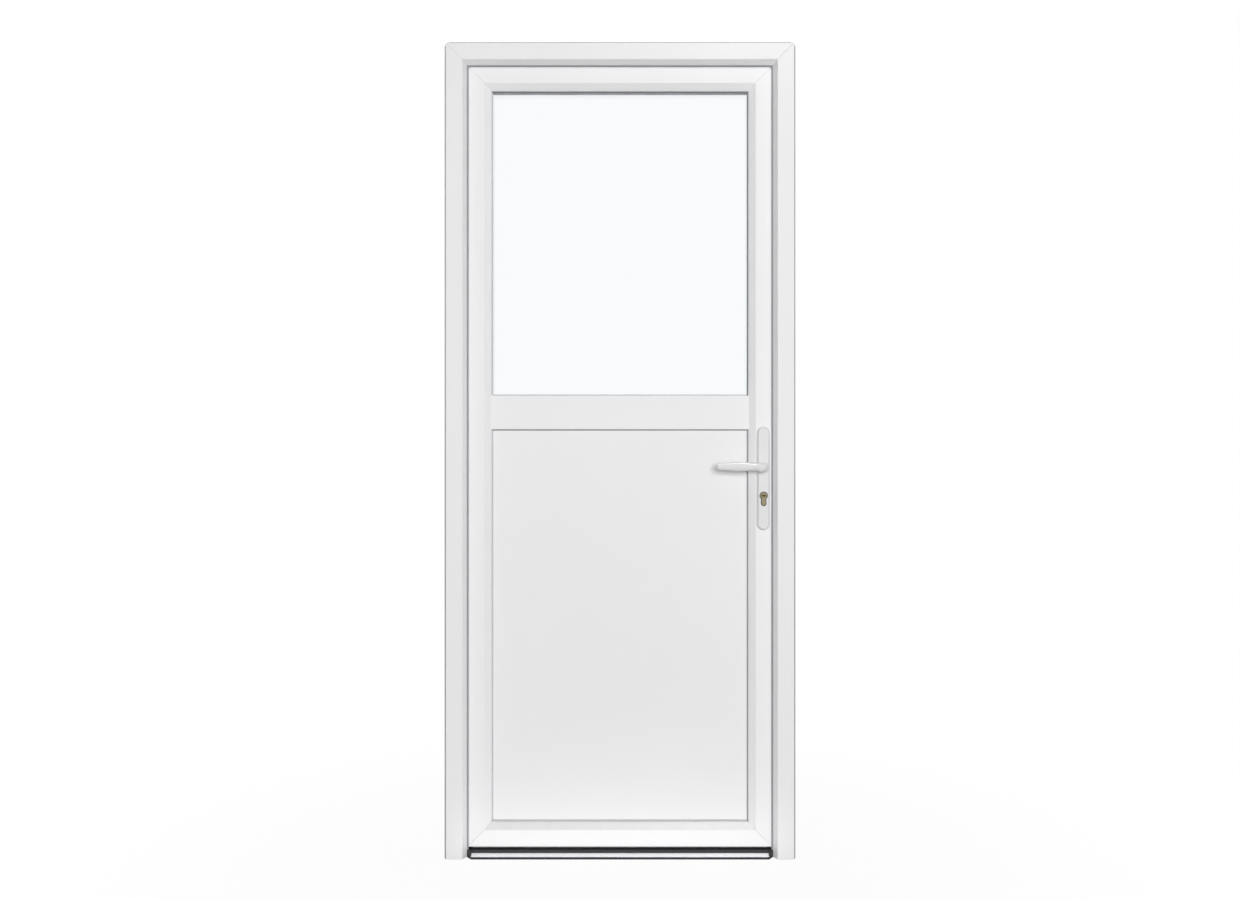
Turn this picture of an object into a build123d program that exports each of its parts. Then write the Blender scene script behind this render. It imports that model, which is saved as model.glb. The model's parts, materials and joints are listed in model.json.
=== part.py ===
"""White PVC service door: glazed upper half, plain lower panel, opening inwards in a three-sided frame.

Millimetres. X runs along the door from hinge side to lock side, Y from outside to inside, Z up.
The origin is the middle of the threshold's underside.
"""

import os

from build123d import *

os.makedirs("parts", exist_ok=True)

# Overall size
overall_width = 880.0
overall_height = 2048.0

# Frame section, measured inwards from the frame's outer edge and back from its front
frame_depth = 70.0
frame_face = 45.0
frame_bevel_width = 9.6
frame_bevel_depth = 18.0
frame_lip_land = 2.5
frame_body = 46.0
frame_edge_width = 4.5
frame_edge_depth = 9.0
frame_corner_cut = 11.0
arris_round = 2.0
fine_round = 1.0

# Fit between leaf and frame
rebate_gap = 9.0
leaf_seal_gap = 1.0
overlap_gap = 5.0
overlap_width = 15.0
threshold_gap = 6.0

# Leaf section, measured inwards from the leaf's front outer edge and back from its front
leaf_depth = 70.0
leaf_face = 43.0
leaf_sight = 60.5
leaf_bevel_depth = 13.5
leaf_lip_depth = 17.5
leaf_edge_round = 3.0
leaf_lip_round = 6.0
glazing_rebate = 17.0
infill_edge_gap = 5.0
infill_thickness = 24.0
gasket_thickness = 2.5
gasket_cover = 10.0
gasket_show = 3.0
bead_gap = 0.3
bead_nose = 3.0
bead_top = 6.5
bead_round = 1.5

# Middle rail
mid_rail_bottom = 1077.0
mid_rail_height = 85.5
mid_rail_front_step = 11.5

# Double glass
pane_thickness = 4.0
spacer_width = 9.0
spacer_inset = 3.0

# Threshold
threshold_height = 18.0
nose_height = 6.0
nose_top = 12.0
nose_depth = 13.0
upstand_depth = 26.0
upstand_seat = 5.0
end_block_width = 12.0
tread_grooves = 3
tread_groove_width = 2.5
tread_groove_depth = 1.0
tread_pitch = 7.0

# Frame and leaf gaskets
frame_gasket_show = 4.2
frame_gasket_round = 6.0
frame_gasket_gap = 0.2
leaf_gasket_width = 6.0
leaf_gasket_inset = 3.0
leaf_gasket_clear = 0.4

# Lever furniture
backset = 24.0
lever_height = 982.0
cylinder_drop = 72.0
plate_length = 262.0
plate_width = 34.0
plate_thickness = 9.0
plate_taper = 28.0
plate_round = 2.0
plate_above_lever = 102.0
collar_radius = 10.5
collar_proud = 3.0
running_gap = 0.1
seat_gap = 0.5
lever_length = 120.0
lever_reach = 52.0
lever_rise = 1.5
neck_width = 21.0
neck_height = 23.5
elbow_radius = 14.0
lever_mid_width = 12.0
lever_mid_height = 22.5
lever_tip_width = 10.0
lever_tip_height = 16.5
lever_tip_round = 3.0

# Euro-profile cylinder
cylinder_radius = 8.5
cylinder_tail_width = 10.0
cylinder_total = 33.0
cylinder_proud = 2.5
cutout_gap = 0.25
plug_radius = 6.5
plug_length = 28.0
plug_proud = 0.4
keyway_width = 2.4
keyway_height = 8.5
keyway_depth = 20.0

# Lock edge
faceplate_width = 16.0
faceplate_end_inset = 110.0
faceplate_thickness = 3.0
faceplate_centre_y = 13.0
bolt_width = 11.0
bolt_height = 34.0
bolt_depth = 18.0
bolt_gap = 0.3
latch_above_lever = 20.0
deadbolt_below_cylinder = 45.0
hook_slot_width = 6.0
hook_slot_height = 46.0
hook_inset = 250.0
keeper_width = 24.0
keeper_margin = 30.0

# Hinges
hinge_end_inset = 205.0
hinge_axis_inset = 25.0
hinge_axis_proud = 1.5
barrel_radius = 9.5
barrel_length = 48.0
barrel_gap = 1.0
pin_radius = 5.0
pin_gap = 0.05
pin_length = 66.0
hinge_plate = 4.0
hinge_plate_width = 31.0
hinge_web = 11.0
barrel_round = 2.0
hinge_corner = 3.0
leaf_plate_inset = 3.0

# Wall fixings
fixing_end_inset = 199.0
fixings_per_jamb = 4
fixing_radius = 5.0

# Derived positions
half_width = overall_width / 2
frame_front = -frame_depth / 2
frame_back = frame_depth / 2
frame_lip = frame_face + frame_bevel_width
lip_front = frame_front + frame_bevel_depth
lip_back = lip_front + frame_lip_land
leaf_front = lip_back + leaf_seal_gap
leaf_back = leaf_front + leaf_depth
overlap_front = frame_back + overlap_gap
leaf_half = half_width - frame_body - rebate_gap
leaf_top = overall_height - frame_body - rebate_gap
leaf_bottom = threshold_height + threshold_gap
leaf_height = leaf_top - leaf_bottom
leaf_lip_back = leaf_front + leaf_lip_depth
rebate_floor = leaf_sight - glazing_rebate
infill_front = leaf_lip_back + gasket_thickness
infill_back = infill_front + infill_thickness
infill_edge = rebate_floor + infill_edge_gap
mid_rail_top = mid_rail_bottom + mid_rail_height
mid_rail_front = leaf_front + mid_rail_front_step
web_bottom = mid_rail_bottom + glazing_rebate
web_top = mid_rail_top - glazing_rebate
plate_front = leaf_front - plate_thickness
lever_front = leaf_front - lever_reach
lever_mid_y = lever_front + neck_width / 2
elbow_start_y = lever_mid_y + elbow_radius
lock_x = leaf_half - backset
cylinder_height = lever_height - cylinder_drop
plate_centre = lever_height + plate_above_lever - plate_length / 2
leaf_middle = Plane(origin=(0, (leaf_front + leaf_back) / 2, 0), x_dir=(1, 0, 0), z_dir=(0, 1, 0))
hinge_x = -half_width + hinge_axis_inset
hinge_y = leaf_back + hinge_axis_proud
cylinder_front = plate_front - cylinder_proud
cylinder_back = leaf_back + plate_thickness + cylinder_proud
latch_height = lever_height + latch_above_lever
deadbolt_height = cylinder_height - deadbolt_below_cylinder
faceplate_length = leaf_height - 2 * faceplate_end_inset
leaf_mid_height = (leaf_bottom + leaf_top) / 2
hook_heights = [leaf_bottom + faceplate_end_inset + hook_inset, leaf_top - faceplate_end_inset - hook_inset]
hinge_heights = [leaf_bottom + hinge_end_inset, leaf_mid_height, leaf_top - hinge_end_inset]
fixing_pitch = (overall_height - 2 * fixing_end_inset) / (fixings_per_jamb - 1)
fixing_heights = [fixing_end_inset + i * fixing_pitch for i in range(fixings_per_jamb)]

INTO = Vector(0, 1, 0)
RIGHT = Vector(1, 0, 0)
UP = Vector(0, 0, 1)


def save(builder, name):
    """Label a finished piece and write its STEP file."""
    builder.part.label = name
    export_step(builder.part, f"parts/{name}.step")


def mitred_run(section, corner, inward, length, margin=0.0, start=True, end=True, corner_cut=0.0):
    """One straight member: the section carried along a side, cut at 45 degrees where it meets the next."""
    run = inward.cross(INTO)
    far = corner + run * length
    with BuildPart() as member:
        with BuildSketch(Plane(origin=corner - run * margin, x_dir=inward, z_dir=run)):
            add(section.sketch)
        extrude(amount=length + 2 * margin)
        if start:
            split(bisect_by=Plane(origin=corner, z_dir=run - inward), keep=Keep.TOP)
        if end:
            split(bisect_by=Plane(origin=far, z_dir=-run - inward), keep=Keep.TOP)
        if corner_cut and start:
            split(bisect_by=Plane(origin=corner + inward * corner_cut, z_dir=run + inward), keep=Keep.TOP)
        if corner_cut and end:
            split(bisect_by=Plane(origin=far + inward * corner_cut, z_dir=inward - run), keep=Keep.TOP)
    return member


def mitred_frame(section, box, margin=0.0):
    """Four mitred members round a box given as (left, right, bottom, top)."""
    left, right, bottom, top = box
    width = right - left
    height = top - bottom
    return {
        "left": mitred_run(section, Vector(left, 0, bottom), RIGHT, height, margin),
        "top": mitred_run(section, Vector(left, 0, top), -UP, width, margin),
        "right": mitred_run(section, Vector(right, 0, top), -RIGHT, height, margin),
        "bottom": mitred_run(section, Vector(right, 0, bottom), UP, width, margin),
    }


def flat_ring(outer, inner, front, back):
    """A flat rectangular loop lying in a vertical plane; boxes are (left, right, bottom, top)."""
    with BuildPart() as ring:
        with BuildSketch(Plane(origin=(0, back, 0), x_dir=(1, 0, 0), z_dir=(0, -1, 0))):
            for box, mode in ((outer, Mode.ADD), (inner, Mode.SUBTRACT)):
                left, right, bottom, top = box
                with Locations(((left + right) / 2, (bottom + top) / 2)):
                    Rectangle(right - left, top - bottom, mode=mode)
        extrude(amount=back - front)
    return ring


def slab(box, front, back):
    """A flat rectangular piece in a vertical plane; the box is (left, right, bottom, top)."""
    left, right, bottom, top = box
    with BuildPart() as piece:
        with Locations(((left + right) / 2, (front + back) / 2, (bottom + top) / 2)):
            Box(right - left, back - front, top - bottom)
    return piece


def grown(box, amount):
    """The same box moved outwards on all four sides."""
    left, right, bottom, top = box
    return (left - amount, right + amount, bottom - amount, top + amount)


def cylinder_profile(gap):
    """Euro profile about the plug's centre, made larger all round by a gap."""
    tail = cylinder_total - cylinder_radius - cylinder_tail_width / 2
    with BuildSketch() as profile:
        Circle(cylinder_radius + gap)
        with Locations((0, -tail / 2)):
            Rectangle(cylinder_tail_width + 2 * gap, tail)
        with Locations((0, -tail)):
            Circle(cylinder_tail_width / 2 + gap)
    return profile.sketch


# Frame section
with BuildSketch() as frame_section:
    with BuildLine():
        Polyline(
            (0, frame_front + frame_edge_depth),
            (frame_edge_width, frame_front),
            (frame_face, frame_front),
            (frame_lip, lip_front),
            (frame_lip, lip_back),
            (frame_body, lip_back),
            (frame_body, frame_back),
            (0, frame_back),
            close=True,
        )
    make_face()
    face_arris = frame_section.vertices().sort_by_distance((frame_face, frame_front))[0]
    fillet(face_arris, arris_round)
    lip_arris = frame_section.vertices().sort_by_distance((frame_lip, lip_front))[0]
    fillet(lip_arris, fine_round)
    inside_arris = frame_section.vertices().sort_by_distance((frame_body, frame_back))[0]
    fillet(inside_arris, arris_round)

# Leaf section, the same for stiles and rails
with BuildSketch() as leaf_section:
    with BuildLine():
        Polyline(
            (0, leaf_front),
            (leaf_face, leaf_front),
            (leaf_sight, leaf_front + leaf_bevel_depth),
            (leaf_sight, leaf_lip_back),
            (rebate_floor, leaf_lip_back),
            (rebate_floor, leaf_back),
            (-overlap_width, leaf_back),
            (-overlap_width, overlap_front),
            (0, overlap_front),
            close=True,
        )
    make_face()
    outer_arris = leaf_section.vertices().sort_by_distance((0, leaf_front))[0]
    fillet(outer_arris, leaf_edge_round)
    bevel_arris = leaf_section.vertices().sort_by_distance((leaf_face, leaf_front))[0]
    fillet(bevel_arris, arris_round)
    lip_corner = leaf_section.vertices().sort_by_distance((leaf_sight, leaf_front + leaf_bevel_depth))[0]
    fillet(lip_corner, leaf_lip_round)
    flange_arris = leaf_section.vertices().sort_by_distance((-overlap_width, leaf_back))[0]
    fillet(flange_arris, arris_round)

# Glazing bead section, measured from the same outer edge as the leaf section
with BuildSketch() as bead_section:
    with BuildLine():
        Polyline(
            (rebate_floor, infill_back + bead_gap),
            (leaf_sight, infill_back + bead_gap),
            (leaf_sight, infill_back + bead_gap + bead_nose),
            (rebate_floor + bead_top, leaf_back),
            (rebate_floor, leaf_back),
            close=True,
        )
    make_face()
    bead_nose_arris = (leaf_sight, infill_back + bead_gap + bead_nose)
    fillet(bead_section.vertices().sort_by_distance(bead_nose_arris)[0], bead_round)
    fillet(bead_section.vertices().sort_by_distance((rebate_floor + bead_top, leaf_back))[0], bead_round)

# Hinge jamb
hinge_jamb = mitred_run(
    frame_section, Vector(-half_width, 0, 0), RIGHT, overall_height, start=False, corner_cut=frame_corner_cut
)
with BuildPart() as hinge_jamb_drilled:
    add(hinge_jamb.part)
    with BuildSketch(Plane(origin=(-half_width, 0, 0), x_dir=(0, 1, 0), z_dir=(1, 0, 0))):
        with Locations([(faceplate_centre_y, z) for z in fixing_heights]):
            Circle(fixing_radius)
    extrude(amount=frame_body, mode=Mode.SUBTRACT)
save(hinge_jamb_drilled, "hinge_jamb")

# Lock jamb, with fixing holes and the seats of the keepers
lock_jamb = mitred_run(
    frame_section, Vector(half_width, 0, overall_height), -RIGHT, overall_height, end=False,
    corner_cut=frame_corner_cut
)
keeper_length = hook_slot_height + 2 * keeper_margin
strike_bottom = deadbolt_height - bolt_height / 2 - keeper_margin
strike_top = latch_height + bolt_height / 2 + keeper_margin
rebate_face_x = half_width - frame_body
rebate_plane = Plane(origin=(rebate_face_x, 0, 0), x_dir=(0, 1, 0), z_dir=(1, 0, 0))
keeper_spots = {
    "lower_keeper": (hook_heights[0], keeper_length),
    "strike_plate": ((strike_bottom + strike_top) / 2, strike_top - strike_bottom),
    "upper_keeper": (hook_heights[1], keeper_length),
}
keeper_slots = {
    "lower_keeper": [(hook_heights[0], hook_slot_width, hook_slot_height)],
    "strike_plate": [
        (latch_height, bolt_width, bolt_height),
        (deadbolt_height, bolt_width, bolt_height),
    ],
    "upper_keeper": [(hook_heights[1], hook_slot_width, hook_slot_height)],
}
with BuildPart() as lock_jamb_cut:
    add(lock_jamb.part)
    with BuildSketch(rebate_plane):
        with Locations([(faceplate_centre_y, z) for z in fixing_heights]):
            Circle(fixing_radius)
    extrude(amount=frame_body, mode=Mode.SUBTRACT)
    with BuildSketch(rebate_plane):
        for height, length in keeper_spots.values():
            with Locations((faceplate_centre_y, height)):
                Rectangle(keeper_width, length)
    extrude(amount=faceplate_thickness, mode=Mode.SUBTRACT)
    with BuildSketch(rebate_plane):
        for slots in keeper_slots.values():
            for height, width, length in slots:
                with Locations((faceplate_centre_y, height)):
                    Rectangle(width, length)
    extrude(amount=bolt_depth, mode=Mode.SUBTRACT)
save(lock_jamb_cut, "lock_jamb")

# Keepers, let in flush with the rebate face
for name, (height, length) in keeper_spots.items():
    with BuildPart() as keeper:
        with BuildSketch(rebate_plane):
            with Locations((faceplate_centre_y, height)):
                Rectangle(keeper_width, length)
            for slot_height, width, slot_length in keeper_slots[name]:
                with Locations((faceplate_centre_y, slot_height)):
                    Rectangle(width, slot_length, mode=Mode.SUBTRACT)
        extrude(amount=faceplate_thickness)
    save(keeper, name)

# Head
head = mitred_run(
    frame_section, Vector(-half_width, 0, overall_height), -UP, overall_width, corner_cut=frame_corner_cut
)
save(head, "head")

# Threshold: aluminium sill with a channel, a black upstand in the channel, and a block at each end
sill_half = half_width - frame_lip - end_block_width
channel_front = frame_front + nose_depth
channel_back = channel_front + upstand_depth
side_plane = Plane(origin=(-sill_half, 0, 0), x_dir=(0, 1, 0), z_dir=(1, 0, 0))
with BuildPart() as threshold_sill:
    with BuildSketch(side_plane):
        with BuildLine():
            Polyline(
                (frame_front, 0),
                (frame_front, nose_height),
                (channel_front, nose_top),
                (channel_front, upstand_seat),
                (channel_back, upstand_seat),
                (channel_back, threshold_height),
                (frame_back, threshold_height),
                (frame_back, 0),
                close=True,
            )
        make_face()
        fillet(vertices().sort_by_distance((frame_front, nose_height))[0], fine_round)
        fillet(vertices().sort_by_distance((frame_back, threshold_height))[0], fine_round)
        tread_middle = (channel_back + frame_back) / 2
        for i in range(tread_grooves):
            groove_y = tread_middle + (i - (tread_grooves - 1) / 2) * tread_pitch
            with Locations((groove_y, threshold_height - tread_groove_depth / 2)):
                Rectangle(tread_groove_width, tread_groove_depth, mode=Mode.SUBTRACT)
    extrude(amount=2 * sill_half)
save(threshold_sill, "threshold_sill")

with BuildPart() as threshold_upstand:
    with BuildSketch(side_plane):
        with Locations(((channel_front + channel_back) / 2, (upstand_seat + threshold_height) / 2)):
            Rectangle(upstand_depth, threshold_height - upstand_seat)
        fillet([v for v in vertices() if v.Y > threshold_height - 0.1], arris_round)
    extrude(amount=2 * sill_half)
save(threshold_upstand, "threshold_upstand")

for side, name in ((-1, "hinge_end_block"), (1, "lock_end_block")):
    with BuildPart() as end_block:
        with BuildSketch():
            with BuildLine():
                Polyline(
                    (side * sill_half, frame_front),
                    (side * (half_width - frame_lip), frame_front + frame_bevel_depth),
                    (side * (half_width - frame_lip), lip_back),
                    (side * (half_width - frame_body), lip_back),
                    (side * (half_width - frame_body), frame_back),
                    (side * sill_half, frame_back),
                    close=True,
                )
            make_face()
        extrude(amount=threshold_height)
    save(end_block, name)

# Frame gasket: grey strip on the end of the frame's lip, round its jambs and head
lip_half = half_width - frame_lip
gasket_box = (-lip_half, lip_half, threshold_height, overall_height - frame_lip)
gasket_hole = (
    -lip_half + frame_gasket_show,
    lip_half - frame_gasket_show,
    threshold_height - 2 * frame_gasket_round,
    overall_height - frame_lip - frame_gasket_show,
)
with BuildPart() as frame_gasket:
    with BuildSketch(Plane(origin=(0, lip_back, 0), x_dir=(1, 0, 0), z_dir=(0, -1, 0))):
        with Locations((0, (gasket_box[2] + gasket_box[3]) / 2)):
            Rectangle(2 * lip_half, gasket_box[3] - gasket_box[2])
        with Locations((0, (gasket_hole[2] + gasket_hole[3]) / 2)):
            RectangleRounded(
                gasket_hole[1] - gasket_hole[0],
                gasket_hole[3] - gasket_hole[2],
                frame_gasket_round,
                mode=Mode.SUBTRACT,
            )
    extrude(amount=frame_lip_land - frame_gasket_gap)
save(frame_gasket, "frame_gasket")

leaf_box = (-leaf_half, leaf_half, leaf_bottom, leaf_top)
glass_outline = (-leaf_half, leaf_half, web_top - rebate_floor, leaf_top)
panel_outline = (-leaf_half, leaf_half, leaf_bottom, web_bottom + rebate_floor)
glass_sight = (leaf_sight - leaf_half, leaf_half - leaf_sight, mid_rail_top, leaf_top - leaf_sight)
panel_sight = (leaf_sight - leaf_half, leaf_half - leaf_sight, leaf_bottom + leaf_sight, mid_rail_bottom)
glass_box = grown(glass_outline, -infill_edge)
panel_box = grown(panel_outline, -infill_edge)

# Leaf stiles and rails
leaf_members = mitred_frame(leaf_section, leaf_box, overlap_width)
edge_plane = Plane(origin=(leaf_half, 0, 0), x_dir=(0, 1, 0), z_dir=(1, 0, 0))
bolt_heights = [latch_height, deadbolt_height]
with BuildPart() as lock_stile:
    add(leaf_members["right"].part)
    with BuildSketch(edge_plane):
        with Locations((faceplate_centre_y, leaf_mid_height)):
            SlotOverall(faceplate_length, faceplate_width, rotation=90)
    extrude(amount=-faceplate_thickness, mode=Mode.SUBTRACT)
    with BuildSketch(edge_plane):
        with Locations([(faceplate_centre_y, z) for z in bolt_heights]):
            Rectangle(bolt_width + 2 * bolt_gap, bolt_height + 2 * bolt_gap)
        with Locations([(faceplate_centre_y, z) for z in hook_heights]):
            Rectangle(hook_slot_width, hook_slot_height)
    extrude(amount=-bolt_depth, mode=Mode.SUBTRACT)
    with BuildSketch(Plane(origin=(lock_x, leaf_front, cylinder_height), x_dir=(-1, 0, 0), z_dir=(0, 1, 0))):
        add(cylinder_profile(cutout_gap))
    extrude(amount=leaf_depth, mode=Mode.SUBTRACT)
save(leaf_members["left"], "hinge_stile")
save(lock_stile, "lock_stile")
save(leaf_members["top"], "top_rail")
save(leaf_members["bottom"], "bottom_rail")

# Middle rail: flat face plate coped to the stiles' bevels, on a web that reaches the glazing rebates
with BuildPart() as mid_rail:
    with Locations((0, (mid_rail_front + leaf_lip_back) / 2, mid_rail_bottom + mid_rail_height / 2)):
        Box(2 * (leaf_half - leaf_face), leaf_lip_back - mid_rail_front, mid_rail_height)
    fillet(mid_rail.edges().filter_by(Axis.X).group_by(Axis.Y)[0], fine_round)
    with Locations((0, (leaf_lip_back + leaf_back) / 2, (web_bottom + web_top) / 2)):
        Box(2 * (leaf_half - rebate_floor), leaf_back - leaf_lip_back, web_top - web_bottom)
    add(leaf_members["left"].part, mode=Mode.SUBTRACT)
    add(leaf_members["right"].part, mode=Mode.SUBTRACT)
save(mid_rail, "mid_rail")

# Double glass and lower panel
save(slab(glass_box, infill_front, infill_front + pane_thickness), "outer_pane")
save(slab(glass_box, infill_back - pane_thickness, infill_back), "inner_pane")
spacer = flat_ring(
    grown(glass_box, -spacer_inset),
    grown(glass_box, -spacer_inset - spacer_width),
    infill_front + pane_thickness,
    infill_back - pane_thickness,
)
save(spacer, "glass_spacer")
save(slab(panel_box, infill_front, infill_back), "lower_panel")

# Glazing gaskets and beads
for infill, sight, outline in (("glass", glass_sight, glass_outline), ("panel", panel_sight, panel_outline)):
    gasket = flat_ring(grown(sight, gasket_cover), grown(sight, -gasket_show), leaf_lip_back, infill_front)
    save(gasket, f"{infill}_gasket")
    for side, bead in mitred_frame(bead_section, outline).items():
        save(bead, f"{infill}_bead_{side}")

# Leaf gasket, on the flange that overlaps the frame inside
gasket_outer = grown(leaf_box, overlap_width - leaf_gasket_inset)
leaf_gasket = flat_ring(
    gasket_outer, grown(gasket_outer, -leaf_gasket_width), frame_back + leaf_gasket_clear, overlap_front
)
save(leaf_gasket, "leaf_gasket")

# Lock edge: long faceplate, with the latch and the dead bolt drawn in flush
with BuildPart() as lock_faceplate:
    with BuildSketch(edge_plane):
        with Locations((faceplate_centre_y, leaf_mid_height)):
            SlotOverall(faceplate_length, faceplate_width, rotation=90)
        with Locations([(faceplate_centre_y, z) for z in bolt_heights]):
            Rectangle(bolt_width + 2 * bolt_gap, bolt_height + 2 * bolt_gap, mode=Mode.SUBTRACT)
        with Locations([(faceplate_centre_y, z) for z in hook_heights]):
            Rectangle(hook_slot_width, hook_slot_height, mode=Mode.SUBTRACT)
    extrude(amount=-faceplate_thickness)
save(lock_faceplate, "lock_faceplate")

for bolt_name, bolt_z in (("latch_bolt", latch_height), ("dead_bolt", deadbolt_height)):
    with BuildPart() as bolt:
        with BuildSketch(edge_plane):
            with Locations((faceplate_centre_y, bolt_z)):
                Rectangle(bolt_width, bolt_height)
        extrude(amount=-bolt_depth)
    save(bolt, bolt_name)

# Lever plates, the inside one mirrored through the leaf
plate_plane = Plane(origin=(lock_x, leaf_front, plate_centre), x_dir=(1, 0, 0), z_dir=(0, -1, 0))
with BuildPart() as outside_plate:
    with BuildSketch(plate_plane):
        SlotOverall(plate_length, plate_width, rotation=90)
    extrude(amount=plate_thickness, taper=plate_taper)
    fillet(outside_plate.faces().sort_by(Axis.Y)[0].edges(), plate_round)
    with BuildSketch(plate_plane):
        with Locations((0, lever_height - plate_centre)):
            Circle(collar_radius + running_gap)
        with Locations((0, cylinder_height - plate_centre)):
            add(cylinder_profile(cutout_gap))
    extrude(amount=plate_thickness, mode=Mode.SUBTRACT)
save(outside_plate, "outside_plate")

with BuildPart() as inside_plate:
    mirror(outside_plate.part, about=leaf_middle)
save(inside_plate, "inside_plate")

# Levers: an oval neck on a round collar that turns in the plate, a bend, and a bar that narrows to its tip
elbow_end_x = lock_x - elbow_radius
lever_tip_x = lock_x - lever_length
lever_stations = [
    (elbow_end_x, lever_height, neck_width, neck_height),
    ((elbow_end_x + lever_tip_x) / 2, lever_height + lever_rise, lever_mid_width, lever_mid_height),
    (lever_tip_x, lever_height + lever_rise, lever_tip_width, lever_tip_height),
]
with BuildPart() as outside_lever:
    for station_x, station_z, width, height in lever_stations:
        station = (station_x, lever_mid_y, station_z)
        with BuildSketch(Plane(origin=station, x_dir=(0, 1, 0), z_dir=(-1, 0, 0))):
            Ellipse(width / 2, height / 2)
    loft()
    fillet(outside_lever.faces().sort_by(Axis.X)[0].edges(), lever_tip_round)
    elbow_end = (elbow_end_x, lever_mid_y, lever_height)
    with BuildSketch(Plane(origin=elbow_end, x_dir=(0, 1, 0), z_dir=(-1, 0, 0))):
        Ellipse(neck_width / 2, neck_height / 2)
    revolve(axis=Axis((elbow_end_x, elbow_start_y, lever_height), (0, 0, 1)), revolution_arc=90)
    with BuildSketch(Plane(origin=(lock_x, elbow_start_y, lever_height), x_dir=(-1, 0, 0), z_dir=(0, 1, 0))):
        Ellipse(neck_width / 2, neck_height / 2)
    extrude(amount=plate_front - collar_proud - elbow_start_y)
    collar_middle = (lock_x, plate_front - collar_proud, lever_height)
    with BuildSketch(Plane(origin=collar_middle, x_dir=(-1, 0, 0), z_dir=(0, 1, 0))):
        Circle(collar_radius)
    extrude(amount=collar_proud + plate_thickness - seat_gap)
save(outside_lever, "outside_lever")

with BuildPart() as inside_lever:
    mirror(outside_lever.part, about=leaf_middle)
save(inside_lever, "inside_lever")

# Cylinder, right through the leaf, and the plug that a key turns on the outside
cylinder_plane = Plane(origin=(lock_x, cylinder_front, cylinder_height), x_dir=(-1, 0, 0), z_dir=(0, 1, 0))
with BuildPart() as lock_cylinder:
    with BuildSketch(cylinder_plane):
        add(cylinder_profile(0.0))
    extrude(amount=cylinder_back - cylinder_front)
    with BuildSketch(cylinder_plane):
        Circle(plug_radius + running_gap)
    extrude(amount=plug_length + seat_gap, mode=Mode.SUBTRACT)
    with BuildSketch(cylinder_plane.offset(cylinder_back - cylinder_front)):
        SlotOverall(keyway_height, keyway_width)
    extrude(amount=-keyway_depth, mode=Mode.SUBTRACT)
save(lock_cylinder, "lock_cylinder")

with BuildPart() as outside_plug:
    with BuildSketch(cylinder_plane.offset(-plug_proud)):
        Circle(plug_radius)
    extrude(amount=plug_length)
    with BuildSketch(cylinder_plane.offset(-plug_proud)):
        SlotOverall(keyway_height, keyway_width)
    extrude(amount=keyway_depth, mode=Mode.SUBTRACT)
save(outside_plug, "outside_plug")

# Hinges: frame halves carry the pin, leaf halves lift on to it
flange_edge = -leaf_half - overlap_width
arm_end = flange_edge + leaf_plate_inset + hinge_plate_width
frame_plate_x = flange_edge - overlap_gap - hinge_plate_width / 2
for name, height in zip(("lower", "middle", "upper"), hinge_heights):
    lower_end = height - barrel_gap / 2 - barrel_length
    upper_start = height + barrel_gap / 2
    upper_end = upper_start + barrel_length
    frame_plate_middle = (frame_plate_x, frame_back, (lower_end + upper_end) / 2)
    arm_middle = ((hinge_x + arm_end) / 2, leaf_back, (upper_start + upper_end) / 2)
    with BuildPart() as frame_half:
        with BuildSketch(Plane.XY.offset(lower_end)):
            with Locations((hinge_x, hinge_y)):
                Circle(barrel_radius)
        extrude(amount=barrel_length)
        fillet(frame_half.edges().group_by(Axis.Z)[0], barrel_round)
        with BuildSketch(Plane.XY.offset(lower_end + barrel_round)):
            with Locations((hinge_x, (frame_back + hinge_y) / 2)):
                Rectangle(hinge_web, hinge_y - frame_back)
        extrude(amount=barrel_length - barrel_round)
        with BuildSketch(Plane(origin=frame_plate_middle, x_dir=(1, 0, 0), z_dir=(0, 1, 0))):
            RectangleRounded(hinge_plate_width, upper_end - lower_end, hinge_corner)
        extrude(amount=hinge_plate)
        with BuildSketch(Plane.XY.offset(lower_end + barrel_length / 2)):
            with Locations((hinge_x, hinge_y)):
                Circle(pin_radius)
        extrude(amount=pin_length)
    save(frame_half, f"{name}_hinge_frame_half")
    with BuildPart() as leaf_half_hinge:
        with BuildSketch(Plane.XY.offset(upper_start)):
            with Locations((hinge_x, hinge_y)):
                Circle(barrel_radius)
        extrude(amount=barrel_length)
        fillet(leaf_half_hinge.edges().group_by(Axis.Z)[-1], barrel_round)
        with BuildSketch(Plane(origin=arm_middle, x_dir=(1, 0, 0), z_dir=(0, 1, 0))):
            RectangleRounded(arm_end - hinge_x, barrel_length - 2 * barrel_round, hinge_corner)
        extrude(amount=hinge_plate)
        with BuildSketch(Plane.XY.offset(upper_start)):
            with Locations((hinge_x, hinge_y)):
                Circle(pin_radius + pin_gap)
        extrude(amount=pin_length - barrel_length / 2 - barrel_gap + seat_gap, mode=Mode.SUBTRACT)
    save(leaf_half_hinge, f"{name}_hinge_leaf_half")
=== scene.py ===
"""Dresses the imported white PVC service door: finishes, screws and small fittings, and a pale studio."""

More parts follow.
